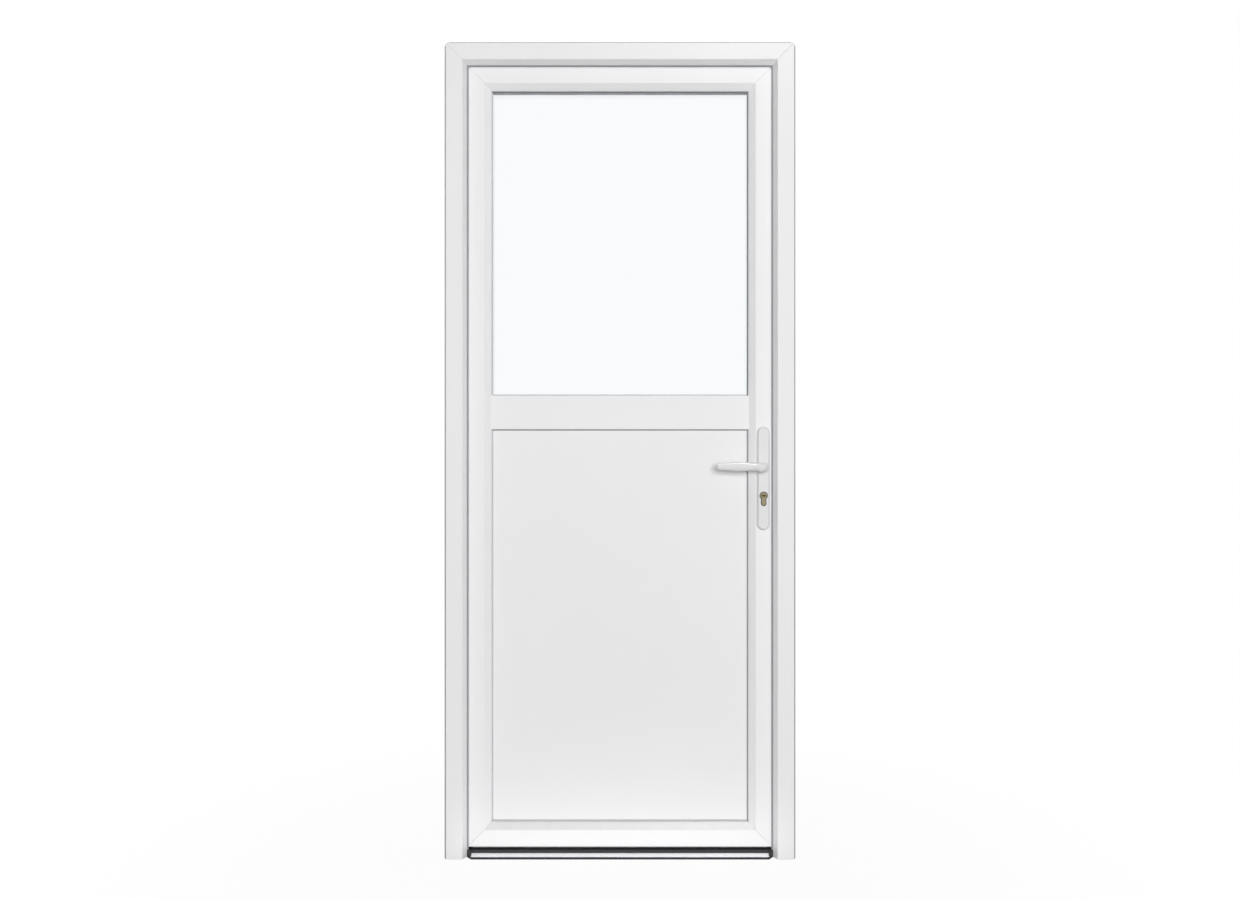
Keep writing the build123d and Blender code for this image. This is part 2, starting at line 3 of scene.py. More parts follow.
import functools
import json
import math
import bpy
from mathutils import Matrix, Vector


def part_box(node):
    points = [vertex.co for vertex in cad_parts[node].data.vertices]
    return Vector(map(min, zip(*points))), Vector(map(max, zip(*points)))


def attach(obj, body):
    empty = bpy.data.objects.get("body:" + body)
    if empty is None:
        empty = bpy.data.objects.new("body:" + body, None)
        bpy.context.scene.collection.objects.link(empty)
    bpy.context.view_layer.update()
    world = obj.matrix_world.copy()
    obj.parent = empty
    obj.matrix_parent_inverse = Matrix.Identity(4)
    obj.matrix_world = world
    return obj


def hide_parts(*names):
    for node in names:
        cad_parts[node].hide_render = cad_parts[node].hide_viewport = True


bl_info = {
    "name": "PVC Service Door",
    "version": (1, 0, 0),
    "blender": (4, 5, 0),
    "location": "View3D > Sidebar > Service Door",
    "description": "Finishes, fittings and studio for a half-glazed white PVC service door",
    "category": "Object",
}

import bmesh
import bpy
from bpy.props import FloatProperty, FloatVectorProperty, PointerProperty
from bpy.types import NodeSocket, Operator, Panel, PropertyGroup
from mathutils import Matrix, Vector

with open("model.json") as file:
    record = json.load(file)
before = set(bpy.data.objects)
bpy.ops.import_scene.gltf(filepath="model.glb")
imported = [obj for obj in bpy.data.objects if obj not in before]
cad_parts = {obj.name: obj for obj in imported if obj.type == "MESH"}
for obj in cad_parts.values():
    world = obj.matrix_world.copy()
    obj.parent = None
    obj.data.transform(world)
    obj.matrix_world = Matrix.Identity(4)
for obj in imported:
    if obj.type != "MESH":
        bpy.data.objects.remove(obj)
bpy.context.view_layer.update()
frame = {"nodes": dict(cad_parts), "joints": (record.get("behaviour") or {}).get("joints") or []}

MILLIMETRE = 0.001

# Members by the way their extrusion lines run
FRAME_UPRIGHTS = ("hinge_jamb", "lock_jamb")
FRAME_LEVELS = ("head",)
LEAF_UPRIGHTS = ("hinge_stile", "lock_stile")
LEAF_LEVELS = ("top_rail", "mid_rail")
BEAD_UPRIGHTS = ("glass_bead_left", "glass_bead_right", "panel_bead_left", "panel_bead_right")
BEAD_LEVELS = ("glass_bead_top", "glass_bead_bottom", "panel_bead_top", "panel_bead_bottom")
FRAME_SEALS = ("frame_gasket", "leaf_gasket")
KEEPERS = ("lower_keeper", "strike_plate", "upper_keeper")
HINGE_NAMES = ("lower", "middle", "upper")

# Each side's way out of the leaf along Y
SIDES = (("outside", -1), ("inside", 1))

# Noise scales along X, Y and Z; a low one draws lines along that axis
UPRIGHT_LINES = (520.0, 520.0, 1.6)
LEVEL_LINES = (1.6, 520.0, 520.0)
SPACER_LINES = (40.0, 900.0, 40.0)
SILL_LINES = (3.0, 1400.0, 1400.0)
SCREW_LINES = (300.0, 300.0, 300.0)
CYLINDER_LINES = (900.0, 40.0, 900.0)
FACEPLATE_LINES = (1200.0, 1200.0, 6.0)

# Depth of the bump in each finish
PVC_BUMP = 0.03 * MILLIMETRE
METAL_BUMP = 0.02 * MILLIMETRE
LACQUER_BUMP = 0.04 * MILLIMETRE
KEYWAY_SHADE_BUMP = 0.04 * MILLIMETRE
RUBBER_BUMP = 0.05 * MILLIMETRE
POLYMER_BUMP = 0.05 * MILLIMETRE

# Amount of dust that settles on each finish
PVC_DUST = 0.25
# On the bottom rail this is mostly painted shade that darkens its upward bevel
BOTTOM_RAIL_DUST_AND_SHADE = 1.2
RUBBER_DUST = 0.3
LACQUER_DUST = 0.15
SILL_DUST = 0.08
STEEL_DUST = 0.1

# Faces of the sill that look forward, by the Y of their normal; they get a painted shade
SILL_SHADED_FRONT = -0.7

# How a node's edges are softened
WELD_REACH = 0.002 * MILLIMETRE
SOFT_ANGLE = math.radians(28)
FLAT_WEIGHT = 80
RECESS_WEIGHT = 60

# Points round a curve or along it
SCREW_STEPS = 48
LATHE_STEPS = 64
OVAL_STEPS = 64
ARC_STEPS = 40
ELBOW_STEPS = 14
BAR_STEPS = 36
TIP_STEPS = 8

# Screw head: shares of its radius, with heights as shares of its rise
HEAD_PROFILE = ((0.90, -0.30), (1.00, 0.0), (0.97, 0.30), (0.86, 0.66), (0.72, 0.90))

# Cross recess: shares of the cross, with depths as shares of the head's radius
RECESS_PROFILE = ((1.0, 0.0), (0.94, 0.05), (0.62, 0.42))
RECESS_FLOOR = 0.50
RECESS_ARM = 0.56
RECESS_HALF_WIDTH = 0.15

# Turn of the first screw of a row, and of each one from the last
FIRST_TURN = 0.3
NEXT_TURN = 0.55

# How far screw heads stand proud, and how far in they sit from an end
PLATE_SCREW_RISE = 1.1 * MILLIMETRE
LOCK_SCREW_RISE = 0.6 * MILLIMETRE
HINGE_SCREW_RISE = 0.8 * MILLIMETRE
FACEPLATE_INSET = 14 * MILLIMETRE
KEEPER_INSET = 10 * MILLIMETRE
HINGE_INSET = 12 * MILLIMETRE

# Faceplate screws between the ends: fields along the plate, and the lift from a field's end
FACEPLATE_FIELDS = 4
FIELD_LIFT = 30 * MILLIMETRE

# Hinge screws from the plate's side, as shares of the inset
FRAME_SIDE_INSET = 0.55
LEAF_SIDE_INSET = 0.8

# Dark liner round the cylinder, painted shade for the shadow gap between plate and cylinder: gap and height,
# as shares of its width
SHADE_RING_PROFILE = ((0.1, -0.4), (0.1, 0.35), (0.6, 0.45), (1.0, 0.25), (1.0, -0.4))

# Brown plate in the keyway, painted shade for its dark hollow: inset and height in millimetres, and the
# height of its middle
KEYWAY_SHADE_PROFILE = ((0.0, -0.5), (0.0, 0.3), (0.2, 0.5), (0.9, 0.3))
KEYWAY_SHADE_MIDDLE = 0.3

# Cap on a hinge barrel: its share of the barrel, then shares of its radius with heights in millimetres
CAP_SHARE = 0.76
CAP_PROFILE = ((0.25, -0.2), (1.0, -0.2), (0.98, 0.3), (0.9, 0.6), (0.6, 0.85), (0.3, 0.9), (0.26, 0.7))

# Washer between two hinge halves, as shares of the pin, the barrel and the gap
WASHER_BORE = 1.05
WASHER_RIM = 0.97
WASHER_FOOT = 0.1
WASHER_TOP = 0.9

# Lamps: name, setting of its power, place, target, and width and height, in metres
LAMPS = (
    ("key_lamp", "key_power", (0.6, -6.0, 1.65), (0.0, 0.0, 1.05), (2.4, 2.0)),
    ("low_lamp", "low_power", (0.0, -0.11, 0.01), (0.0, -0.06, 0.10), (0.8, 0.1)),
    ("back_lamp", "back_power", (-1.2, 3.6, 3.0), (0.0, 0.0, 1.0), (2.6, 2.6)),
    ("left_lamp", "side_power", (-3.5, 0.2, 2.6), (-0.44, 0.0, 1.0), (0.3, 2.0)),
    ("right_lamp", "side_power", (3.5, 0.2, 2.6), (0.44, 0.0, 1.0), (0.3, 2.0)),
    ("rim_lamp", "rim_power", (0.55, -1.3, 3.1), (0.3, 0.0, 1.0), (0.5, 0.4)),
)
POLISH_LAMP = "rim_lamp"

FLOOR_HALF = 30.0
FLOOR_FIELDS = 8
SENSOR_WIDTH = 36.0


def paint(red, green, blue):
    """Linear colour of an 8-bit display colour."""
    return tuple(
        value / 255 / 12.92 if value <= 10 else ((value / 255 + 0.055) / 1.055) ** 2.4
        for value in (red, green, blue)
    )


def colour_property(label, description, red, green, blue):
    """A colour setting, given as an 8-bit display colour."""
    return FloatVectorProperty(
        name=label,
        description=description,
        subtype="COLOR",
        size=3,
        min=0.0,
        max=1.0,
        default=paint(red, green, blue),
    )


def length_property(label, description, millimetres):
    """A length setting, kept in metres."""
    return FloatProperty(
        name=label,
        description=description,
        subtype="DISTANCE",
        unit="LENGTH",
        precision=5,
        min=0.0,
        default=millimetres * MILLIMETRE,
    )


def share_property(label, description, default):
    """A setting between none and all."""
    return FloatProperty(
        name=label, description=description, subtype="FACTOR", min=0.0, max=1.0, default=default
    )


def power_property(label, description, watts):
    """A lamp's power setting."""
    return FloatProperty(
        name=label, description=description, subtype="POWER", unit="POWER", default=watts
    )


class PvcSettings(PropertyGroup):
    """White extruded PVC of the frame, the leaf and the panel."""

    frame_colour: colour_property("Frame colour", "Jambs and head", 240, 240, 241)
    leaf_colour: colour_property("Leaf colour", "Stiles, rails and beads", 241, 241, 242)
    panel_colour: colour_property("Panel colour", "Smooth lower panel", 240, 240, 241)
    # Painted light: the bottom rail gets a whiter copy of the leaf's PVC, standing in for light thrown up
    # from the floor
    rail_colour: colour_property("Bottom rail colour", "Bottom rail, the whitest piece", 245, 245, 246)
    # Also the colour of the painted shade on the bottom rail's upward bevel
    dust_colour: colour_property("Dust colour", "Dust on upward faces", 190, 189, 186)
    roughness: share_property("Roughness", "Middle roughness of the satin skin", 0.36)
    mottle: share_property("Mottle", "Strength of the slow tone changes", 0.022)
    weld_width: length_property("Weld groove", "Half the width of the trimmed weld at each mitre", 1.0)
    bead_edge: length_property("Bead edge", "Softened edge of the glazing beads", 0.4)


class GasketSettings(PropertyGroup):
    """Grey rubber seals."""

    colour: colour_property("Rubber colour", "Grey of the seals between frame and leaf", 146, 147, 150)
    # Painted shade: the glass seal is darker than the other seals so that its top run reads as the shaded
    # band above the glass
    glass_colour: colour_property("Glass rubber colour", "Seal round the glass", 124, 125, 127)
    panel_colour: colour_property("Panel rubber colour", "Seal round the lower panel", 152, 153, 155)
    # Painted light: the left and bottom runs of the glass and panel seals get this paler colour, while the
    # top and right runs keep the darker grey of their shaded side
    faded_colour: colour_property(
        "Faded colour", "Left and bottom runs round the glass and the panel", 192, 193, 195
    )
    run_width: length_property("Run width", "Width of a seal round the glass or the panel", 13.2)
    edge: length_property("Lip edge", "Rounding of a seal's lip", 0.8)


class GlazingSettings(PropertyGroup):
    """Clear double glass with an aluminium spacer."""

    tint: colour_property("Glass tint", "Faint tint of clear float glass", 253, 254, 255)
    spacer_colour: colour_property("Spacer colour", "Mill-finish spacer bar", 190, 192, 196)
    spacer_stain: colour_property("Spacer stain", "Dull patches on the spacer", 150, 152, 156)
    pane_edge: length_property("Pane edge", "Ground edge of each pane", 0.5)


class FurnitureSettings(PropertyGroup):
    """Lacquered levers and plates, hinges, and the brass cylinder."""

    lacquer_colour: colour_property("Lacquer colour", "Plates", 229, 229, 230)
    lever_colour: colour_property("Lever colour", "Levers", 228, 228, 229)
    hinge_colour: colour_property("Hinge colour", "Hinge halves", 236, 236, 236)
    brass_colour: colour_property("Brass colour", "Satin brass of the cylinder", 200, 190, 156)
    tarnish_colour: colour_property("Tarnish colour", "Dull brown in the brass", 132, 118, 80)
    # Painted shade: the brown plate in the keyway stands in for its dark hollow
    shutter_colour: colour_property("Shutter colour", "Brown shutter in the keyway", 92, 80, 50)
    edge: length_property("Edge", "Softened edge of the cylinder", 0.5)
    screw_radius: length_property("Screw radius", "Radius of a plate screw's head", 4.0)
    collar_radius: length_property("Collar radius", "Round collar that turns in the plate", 10.5)
    collar_proud: length_property("Collar height", "Collar seen between plate and neck", 3.0)
    neck_width: length_property("Neck width", "Width of the oval neck", 21.0)
    neck_height: length_property("Neck height", "Height of the oval neck", 23.5)
    elbow_radius: length_property("Elbow radius", "Bend between neck and bar", 14.0)
    bar_width: length_property("Bar width", "Thickness of the bar at its middle", 12.0)
    bar_height: length_property("Bar height", "Height of the bar at its middle", 22.5)
    tip_width: length_property("Tip width", "Thickness of the bar's tip", 10.0)
    tip_height: length_property("Tip height", "Height of the bar's tip", 16.5)
    tip_round: length_property("Tip round", "How far the bar's end draws in", 4.0)
    tip_length: length_property("Tip length", "Length of the bar's rounded end", 7.0)
    bar_rise: length_property("Bar rise", "How far the bar's middle line rises from the neck's", 1.5)
    euro_radius: length_property("Profile radius", "Round head of the cylinder", 8.5)
    euro_tail: length_property("Profile tail", "Width of the cylinder's tail", 10.0)
    euro_total: length_property("Profile height", "Whole height of the cylinder", 33.0)
    # These sizes give the brown plate of painted shade in the keyway
    keyway_length: length_property("Keyway length", "Length of the shutter in the keyway", 11.0)
    keyway_height: length_property("Keyway height", "Height of the shutter in the keyway", 4.2)
    # Painted shade: the dark liner stands in for the shadow gap round the cylinder
    surround: length_property("Surround", "Dark liner round the cylinder", 1.8)
    hinge_plate: length_property("Hinge plate", "Thickness of a hinge plate", 4.0)
    barrel_radius: length_property("Barrel radius", "Radius of a hinge barrel", 9.5)
    pin_radius: length_property("Pin radius", "Radius of a hinge pin", 5.0)


class LockSettings(PropertyGroup):
    """Plated steel of the lock edge and the keepers."""

    steel_colour: colour_property("Steel colour", "Zinc-plated steel", 188, 190, 194)
    steel_stain: colour_property("Steel stain", "Dull patches on the plated steel", 140, 142, 146)
    screw_colour: colour_property("Screw colour", "Plated screws", 170, 171, 174)
    screw_stain: colour_property("Screw stain", "Dull patches on the screws", 120, 121, 125)
    edge: length_property("Edge", "Softened edge of plates and bolts", 0.3)
    screw_radius: length_property("Screw radius", "Radius of a lock screw's head", 3.6)


class ThresholdSettings(PropertyGroup):
    """Aluminium sill with a black upstand."""

    metal_colour: colour_property("Metal colour", "Brushed aluminium", 252, 252, 255)
    metal_stain: colour_property("Metal stain", "Dull patches on the aluminium", 238, 238, 243)
    # Painted shade: this dark colour is laid on the sill's forward faces
    front_colour: colour_property("Front colour", "Dull front edge of the sill", 60, 60, 64)
    black_colour: colour_property("Black colour", "Black upstand and end blocks", 60, 60, 61)
    edge: length_property("Edge", "Softened edge of the sill", 0.4)


class StageSettings(PropertyGroup):
    """Camera, floor and lamps."""

    camera_distance: length_property("Camera distance", "From the front of the frame", 2930)
    camera_height: length_property("Camera height", "Height of the lens", 1024.8)
    lens: FloatProperty(
        name="Lens", description="Focal length", subtype="DISTANCE_CAMERA", unit="CAMERA", default=34.0
    )
    floor_colour: colour_property("Floor colour", "Pale floor", 130, 130, 130)
    floor_glow: share_property("Floor white", "Share of plain white in the floor beside the door", 0.97)
    floor_near: length_property("Shadow reach", "Where the floor starts to turn plain white", 500)
    floor_far: length_property("White reach", "Where the floor is plain white", 1500)
    ambient: FloatProperty(name="Ambient", description="Light from all round", min=0.0, default=0.14)
    polish_light: share_property("Polish light", "Brightness of the room as shiny faces mirror it", 0.4)
    key_power: power_property("Key power", "Large front lamp", 305.0)
    low_power: power_property("Low power", "Low lamp before the threshold", 0.26)
    rim_power: power_property("Rim power", "Strip lamp seen in the lacquer", 32.0)
    back_power: power_property("Back power", "Soft lamp behind the door", 160.0)
    side_power: power_property("Side power", "Lamps beside the frame", 16.0)


class DoorSettings(PropertyGroup):
    """All sizes and colours of the dressed door."""

    pvc: PointerProperty(type=PvcSettings)
    gasket: PointerProperty(type=GasketSettings)
    glazing: PointerProperty(type=GlazingSettings)
    furniture: PointerProperty(type=FurnitureSettings)
    lock: PointerProperty(type=LockSettings)
    threshold: PointerProperty(type=ThresholdSettings)
    stage: PointerProperty(type=StageSettings)


# Shader nodes


def rgba(colour):
    """A colour with full alpha."""
    return (*colour, 1.0)


def put_node(tree, kind, **values):
    """A new node with some of its own settings."""
    node = tree.nodes.new(kind)
    for key, value in values.items():
        setattr(node, key, value)
    return node


def set_socket(tree, socket, value):
    """Link another node's output to an input, or set the input's own value."""
    if isinstance(value, NodeSocket):
        tree.links.new(value, socket)
    else:
        socket.default_value = value


def feed(tree, node, **sockets):
    """Set a node's inputs by name, with an underscore for each space."""
    for label, value in sockets.items():
        set_socket(tree, node.inputs[label.replace("_", " ")], value)


def calculate(tree, operation, *values):
    """Result of a Math node."""
    node = put_node(tree, "ShaderNodeMath", operation=operation)
    for socket, value in zip(node.inputs, values):
        set_socket(tree, socket, value)
    return node.outputs["Value"]


def mixed(tree, share, first, second):
    """A share of one value and the rest of another."""
    rest = calculate(tree, "MULTIPLY", second, 1 - share)
    return calculate(tree, "MULTIPLY_ADD", first, share, rest)


def noise(tree, vector, scale, detail):
    """Values of a noise texture."""
    node = put_node(tree, "ShaderNodeTexNoise")
    feed(tree, node, Vector=vector, Scale=scale, Detail=detail)
    return node.outputs["Fac"]


def stretched(tree, vector, scale):
    """A place multiplied along each axis."""
    node = put_node(tree, "ShaderNodeVectorMath", operation="MULTIPLY")
    set_socket(tree, node.inputs[0], vector)
    set_socket(tree, node.inputs[1], scale)
    return node.outputs["Vector"]


def axes(tree, vector):
    """The X, Y and Z of a vector, by name."""
    node = put_node(tree, "ShaderNodeSeparateXYZ")
    tree.links.new(vector, node.inputs[0])
    return node.outputs


def object_place(tree):
    """Place on the object, in metres."""
    return put_node(tree, "ShaderNodeTexCoord").outputs["Object"]


def surface_normal(tree):
    """Direction that the surface looks in."""
    return put_node(tree, "ShaderNodeNewGeometry").outputs["Normal"]


def blend_colours(tree, share, first, second):
    """A mix of two colours; the node takes the share at input 0 and the colours at inputs 6 and 7."""
    node = put_node(tree, "ShaderNodeMix", data_type="RGBA", clamp_factor=True)
    for place, value in ((0, share), (6, first), (7, second)):
        set_socket(tree, node.inputs[place], value)
    return node.outputs[2]


def scaled_colour(tree, colour, factor):
    """A colour made brighter or darker."""
    node = put_node(tree, "ShaderNodeVectorMath", operation="SCALE")
    tree.links.new(colour, node.inputs[0])
    tree.links.new(factor, node.inputs["Scale"])
    return node.outputs["Vector"]


# Shader groups

VECTOR = "NodeSocketVector"
COLOUR = "NodeSocketColor"
NUMBER = "NodeSocketFloat"
SKIN_INPUTS = (("Vector", VECTOR), ("Colour", COLOUR), ("Roughness", NUMBER))
SKIN_OUTPUTS = (("Colour", COLOUR), ("Roughness", NUMBER), ("Height", NUMBER))
SHARE_OUTPUT = (("Share", NUMBER),)


def built_once(build):
    """Build a shader group on the first call, and give the same group after that."""

    @functools.wraps(build)
    def shared():
        return bpy.data.node_groups.get(build.__name__) or build()

    return shared


def new_group(name, inputs, outputs):
    """An empty shader group with named sockets, and its two end nodes."""
    tree = bpy.data.node_groups.new(name, "ShaderNodeTree")
    for label, kind in inputs:
        tree.interface.new_socket(name=label, in_out="INPUT", socket_type=kind)
    for label, kind in outputs:
        tree.interface.new_socket(name=label, in_out="OUTPUT", socket_type=kind)
    return tree, tree.nodes.new("NodeGroupInput").outputs, tree.nodes.new("NodeGroupOutput").inputs


def put_out(group, result, **outputs):
    """Link a group's results to its outputs."""
    for label, value in outputs.items():
        group.links.new(value, result[label])
    return group


@built_once
def extruded_skin():
    """Smooth extruded plastic: slow tone changes, die lines along the length and a faint orange peel."""
    group, given, result = new_group(
        "extruded_skin", SKIN_INPUTS + (("Mottle", NUMBER), ("Lines", VECTOR)), SKIN_OUTPUTS
    )
    clouds = noise(group, given["Vector"], scale=3.5, detail=4.0)
    lines = noise(group, stretched(group, given["Vector"], given["Lines"]), scale=1.0, detail=2.0)
    peel = noise(group, given["Vector"], scale=420.0, detail=1.0)
    swing = calculate(group, "SUBTRACT", mixed(group, 0.7, clouds, lines), 0.5)
    depth = calculate(group, "MULTIPLY", given["Mottle"], 2.0)
    factor = calculate(group, "MULTIPLY_ADD", swing, depth, 1.0)
    shine = calculate(group, "MULTIPLY_ADD", swing, 0.16, given["Roughness"])
    return put_out(
        group,
        result,
        Colour=scaled_colour(group, given["Colour"], factor),
        Roughness=calculate(group, "MULTIPLY_ADD", peel, 0.04, shine),
        Height=mixed(group, 0.45, lines, peel),
    )


@built_once
def brushed_metal():
    """Fine lines drawn along a metal, over slow stains."""
    group, given, result = new_group(
        "brushed_metal",
        SKIN_INPUTS + (("Stain", COLOUR), ("Stain Share", NUMBER), ("Lines", VECTOR)),
        SKIN_OUTPUTS,
    )
    lines = noise(group, stretched(group, given["Vector"], given["Lines"]), scale=1.0, detail=4.0)
    stains = noise(group, given["Vector"], scale=60.0, detail=5.0)
    spread = mixed(group, 0.5, lines, stains)
    limited = calculate(group, "SMOOTH_MIN", spread, 1.0, 0.1)
    mask = calculate(group, "MULTIPLY", limited, given["Stain Share"])
    swing = calculate(group, "SUBTRACT", spread, 0.5)
    return put_out(
        group,
        result,
        Colour=blend_colours(group, mask, given["Colour"], given["Stain"]),
        Roughness=calculate(group, "MULTIPLY_ADD", swing, 0.35, given["Roughness"]),
        Height=lines,
    )


@built_once
def fine_grain():
    """Even small grain of rubber, moulded polymer and lacquer."""
    group, given, result = new_group(
        "fine_grain", SKIN_INPUTS + (("Grain", NUMBER), ("Contrast", NUMBER)), SKIN_OUTPUTS
    )
    grain = noise(group, given["Vector"], scale=given["Grain"], detail=2.0)
    clouds = noise(group, given["Vector"], scale=14.0, detail=3.0)
    swing = calculate(group, "SUBTRACT", mixed(group, 0.5, grain, clouds), 0.5)
    factor = calculate(group, "MULTIPLY_ADD", swing, given["Contrast"], 1.0)
    return put_out(
        group,
        result,
        Colour=scaled_colour(group, given["Colour"], factor),
        Roughness=calculate(group, "MULTIPLY_ADD", swing, 0.25, given["Roughness"]),
        Height=grain,
    )


@built_once
def settled_dust():
    """Share of dust on faces that look up; on the bottom rail it is mostly painted shade on the upward
    bevel.
    """
    group, given, result = new_group(
        "settled_dust", (("Vector", VECTOR), ("Amount", NUMBER)), SHARE_OUTPUT
    )
    upward = calculate(group, "SMOOTH_MAX", axes(group, surface_normal(group))["Z"], 0.0, 0.1)
    clouds = noise(group, given["Vector"], scale=30.0, detail=5.0)
    patches = calculate(group, "MULTIPLY_ADD", clouds, 0.3, 0.35)
    settled = calculate(group, "MULTIPLY", upward, patches)
    return put_out(group, result, Share=calculate(group, "MULTIPLY", settled, given["Amount"]))


@built_once
def faded_runs():
    """Share of painted light on a seal: its left and bottom runs, up to the corners of the other two."""
    group, given, result = new_group(
        "faded_runs", (("Vector", VECTOR), ("Right Run", NUMBER), ("Top Run", NUMBER)), SHARE_OUTPUT
    )
    place = axes(group, given["Vector"])
    beside = calculate(group, "LESS_THAN", place["X"], given["Right Run"])
    below = calculate(group, "LESS_THAN", place["Z"], given["Top Run"])
    return put_out(group, result, Share=calculate(group, "MULTIPLY", beside, below))


# Finishes


def principled(material):
    """The material's own shader."""
    return material.node_tree.nodes["Principled BSDF"]


def new_material(name):
    """A new material and its nodes."""
    material = bpy.data.materials.new(name)
    material.use_nodes = True
    return material, material.node_tree


def mix_shaders(tree, share, first, second):
    """Show a share of the second shader and the rest of the first."""
    mix = put_node(tree, "ShaderNodeMixShader")
    for socket, value in zip(mix.inputs, (share, first.outputs[0], second.outputs[0])):
        tree.links.new(value, socket)
    tree.links.new(mix.outputs[0], tree.nodes["Material Output"].inputs["Surface"])


def finish(name, group, bump_height, dust=None, **values):
    """A Principled material driven by one of the shared skins, with dust where it is asked for; on the
    bottom rail that dust is mostly painted shade.
    """
    material, tree = new_material(name)
    place = object_place(tree)
    skin = put_node(tree, "ShaderNodeGroup", node_tree=group)
    feed(tree, skin, Vector=place, **values)
    colour = skin.outputs["Colour"]
    if dust:
        amount, dust_colour = dust
        settled = put_node(tree, "ShaderNodeGroup", node_tree=settled_dust())
        feed(tree, settled, Vector=place, Amount=amount)
        colour = blend_colours(tree, settled.outputs["Share"], colour, rgba(dust_colour))
    bump = put_node(tree, "ShaderNodeBump")
    feed(tree, bump, Height=skin.outputs["Height"], Strength=1.0, Distance=bump_height)
    feed(
        tree,
        principled(material),
        Base_Color=colour,
        Roughness=skin.outputs["Roughness"],
        Normal=bump.outputs["Normal"],
    )
    return material


def lay_over(material, share, colour):
    """Blend a colour over a finish's base colour."""
    tree = material.node_tree
    base = principled(material).inputs["Base Color"]
    under = base.links[0].from_socket
    tree.links.new(blend_colours(tree, share, under, rgba(colour)), base)


def pvc(name, colour, lines, dust=PVC_DUST):
    """White PVC with its die lines along a member."""
    settings = bpy.context.scene.service_door.pvc
    material = finish(
        name,
        extruded_skin(),
        PVC_BUMP,
        dust=(dust, settings.dust_colour),
        Colour=rgba(colour),
        Mottle=settings.mottle,
        Lines=lines,
        Roughness=settings.roughness,
    )
    feed(material.node_tree, principled(material), IOR=1.53, Specular_IOR_Level=0.5)
    return material


def moulded(name, colour, bump, grain, contrast, roughness, dust=None):
    """Rubber, polymer or lacquer with an even grain."""
    look = {"Grain": grain, "Contrast": contrast, "Roughness": roughness}
    return finish(name, fine_grain(), bump, dust=dust, Colour=rgba(colour), **look)


def lacquer(name, colour, roughness):
    """White lacquer under a thin clear coat."""
    dust = (LACQUER_DUST, bpy.context.scene.service_door.pvc.dust_colour)
    material = moulded(
        name, colour, LACQUER_BUMP, grain=650.0, contrast=0.03, roughness=roughness, dust=dust
    )
    feed(material.node_tree, principled(material), Coat_Weight=0.25, Coat_Roughness=0.18)
    return material


def metal(name, colour, stain, stain_share, lines, roughness, metallic=0.5, dust=None):
    """Brushed or plated metal with dull stains."""
    material = finish(
        name,
        brushed_metal(),
        METAL_BUMP,
        dust=dust,
        Colour=rgba(colour),
        Stain=rgba(stain),
        Stain_Share=stain_share,
        Lines=lines,
        Roughness=roughness,
    )
    feed(material.node_tree, principled(material), Metallic=metallic)
    return material


def glass(name, tint):
    """Clear glass that lets the lamps through."""
    material, tree = new_material(name)
    shader = principled(material)
    smears = noise(tree, object_place(tree), scale=9.0, detail=6.0)
    haze = calculate(tree, "MULTIPLY", calculate(tree, "POWER", smears, 4.0), 0.04)
    feed(tree, shader, Base_Color=rgba(tint), IOR=1.5, Transmission_Weight=1.0, Roughness=haze)
    shadow = put_node(tree, "ShaderNodeLightPath").outputs["Is Shadow Ray"]
    mix_shaders(tree, shadow, shader, put_node(tree, "ShaderNodeBsdfTransparent"))
    return material


# Meshes


def give(names, material):
    """Give nodes a finish."""
    for name in names:
        frame["nodes"][name].material_slots[0].material = material


def dress(names, material, edge, segments=2):
    """Give nodes a finish and soften their edges, which also leaves a fine groove where two pieces meet."""
    give(names, material)
    for name in names:
        node = frame["nodes"][name]
        weld = node.modifiers.new("weld", "WELD")
        weld.merge_threshold = WELD_REACH
        soft = node.modifiers.new("soft_edges", "BEVEL")
        soft.width = edge
        soft.segments = segments
        soft.limit_method = "ANGLE"
        soft.angle_limit = SOFT_ANGLE
        soft.miter_outer = "MITER_ARC"
        soft.use_clamp_overlap = False
        soft.loop_slide = False
        shade = node.modifiers.new("even_shading", "WEIGHTED_NORMAL")
        shade.weight = FLAT_WEIGHT


def put_object(name, data):
    """Link a new object to the scene."""
    item = bpy.data.objects.new(name, data)
    bpy.context.scene.collection.objects.link(item)
    return item


def put_mesh(name, mesh_builder, material):
    """Link a finished bmesh as an object."""
    mesh = bpy.data.meshes.new(name)
    mesh_builder.to_mesh(mesh)
    mesh_builder.free()
    mesh.materials.append(material)
    return put_object(name, mesh)


def new_piece(name, mesh_builder, material, body):
    """Link a finished bmesh as a piece that rides on a body."""
    bmesh.ops.recalc_face_normals(mesh_builder, faces=mesh_builder.faces)
    piece = put_mesh(name, mesh_builder, material)
    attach(piece, body)
    return piece


def skin_rings(mesh_builder, rings, joined=False, centre=None):
    """Faces between rings of points; joined links the last ring to the first, centre closes the last."""
    loops = [[mesh_builder.verts.new(point) for point in ring] for ring in rings]
    pairs = list(zip(loops, loops[1:]))
    if joined:
        pairs.append((loops[-1], loops[0]))
    for low, high in pairs:
        count = len(low)
        for i in range(count):
            j = (i + 1) % count
            mesh_builder.faces.new((low[i], low[j], high[j], high[i]))
    if centre is not None:
        middle = mesh_builder.verts.new(centre)
        last = loops[-1]
        for i in range(len(last)):
            mesh_builder.faces.new((last[i], last[(i + 1) % len(last)], middle))


def aimed(place, direction, turn=0.0):
    """Matrix that puts local Z along a direction at a place."""
    spin = Vector(direction).to_track_quat("Z", "Y").to_matrix().to_4x4()
    return Matrix.Translation(place) @ spin @ Matrix.Rotation(turn, 4, "Z")


def turned(matrix, reach, angle, height):
    """Point at a reach and an angle about a matrix's own Z."""
    return matrix @ Vector((reach * math.cos(angle), reach * math.sin(angle), height))


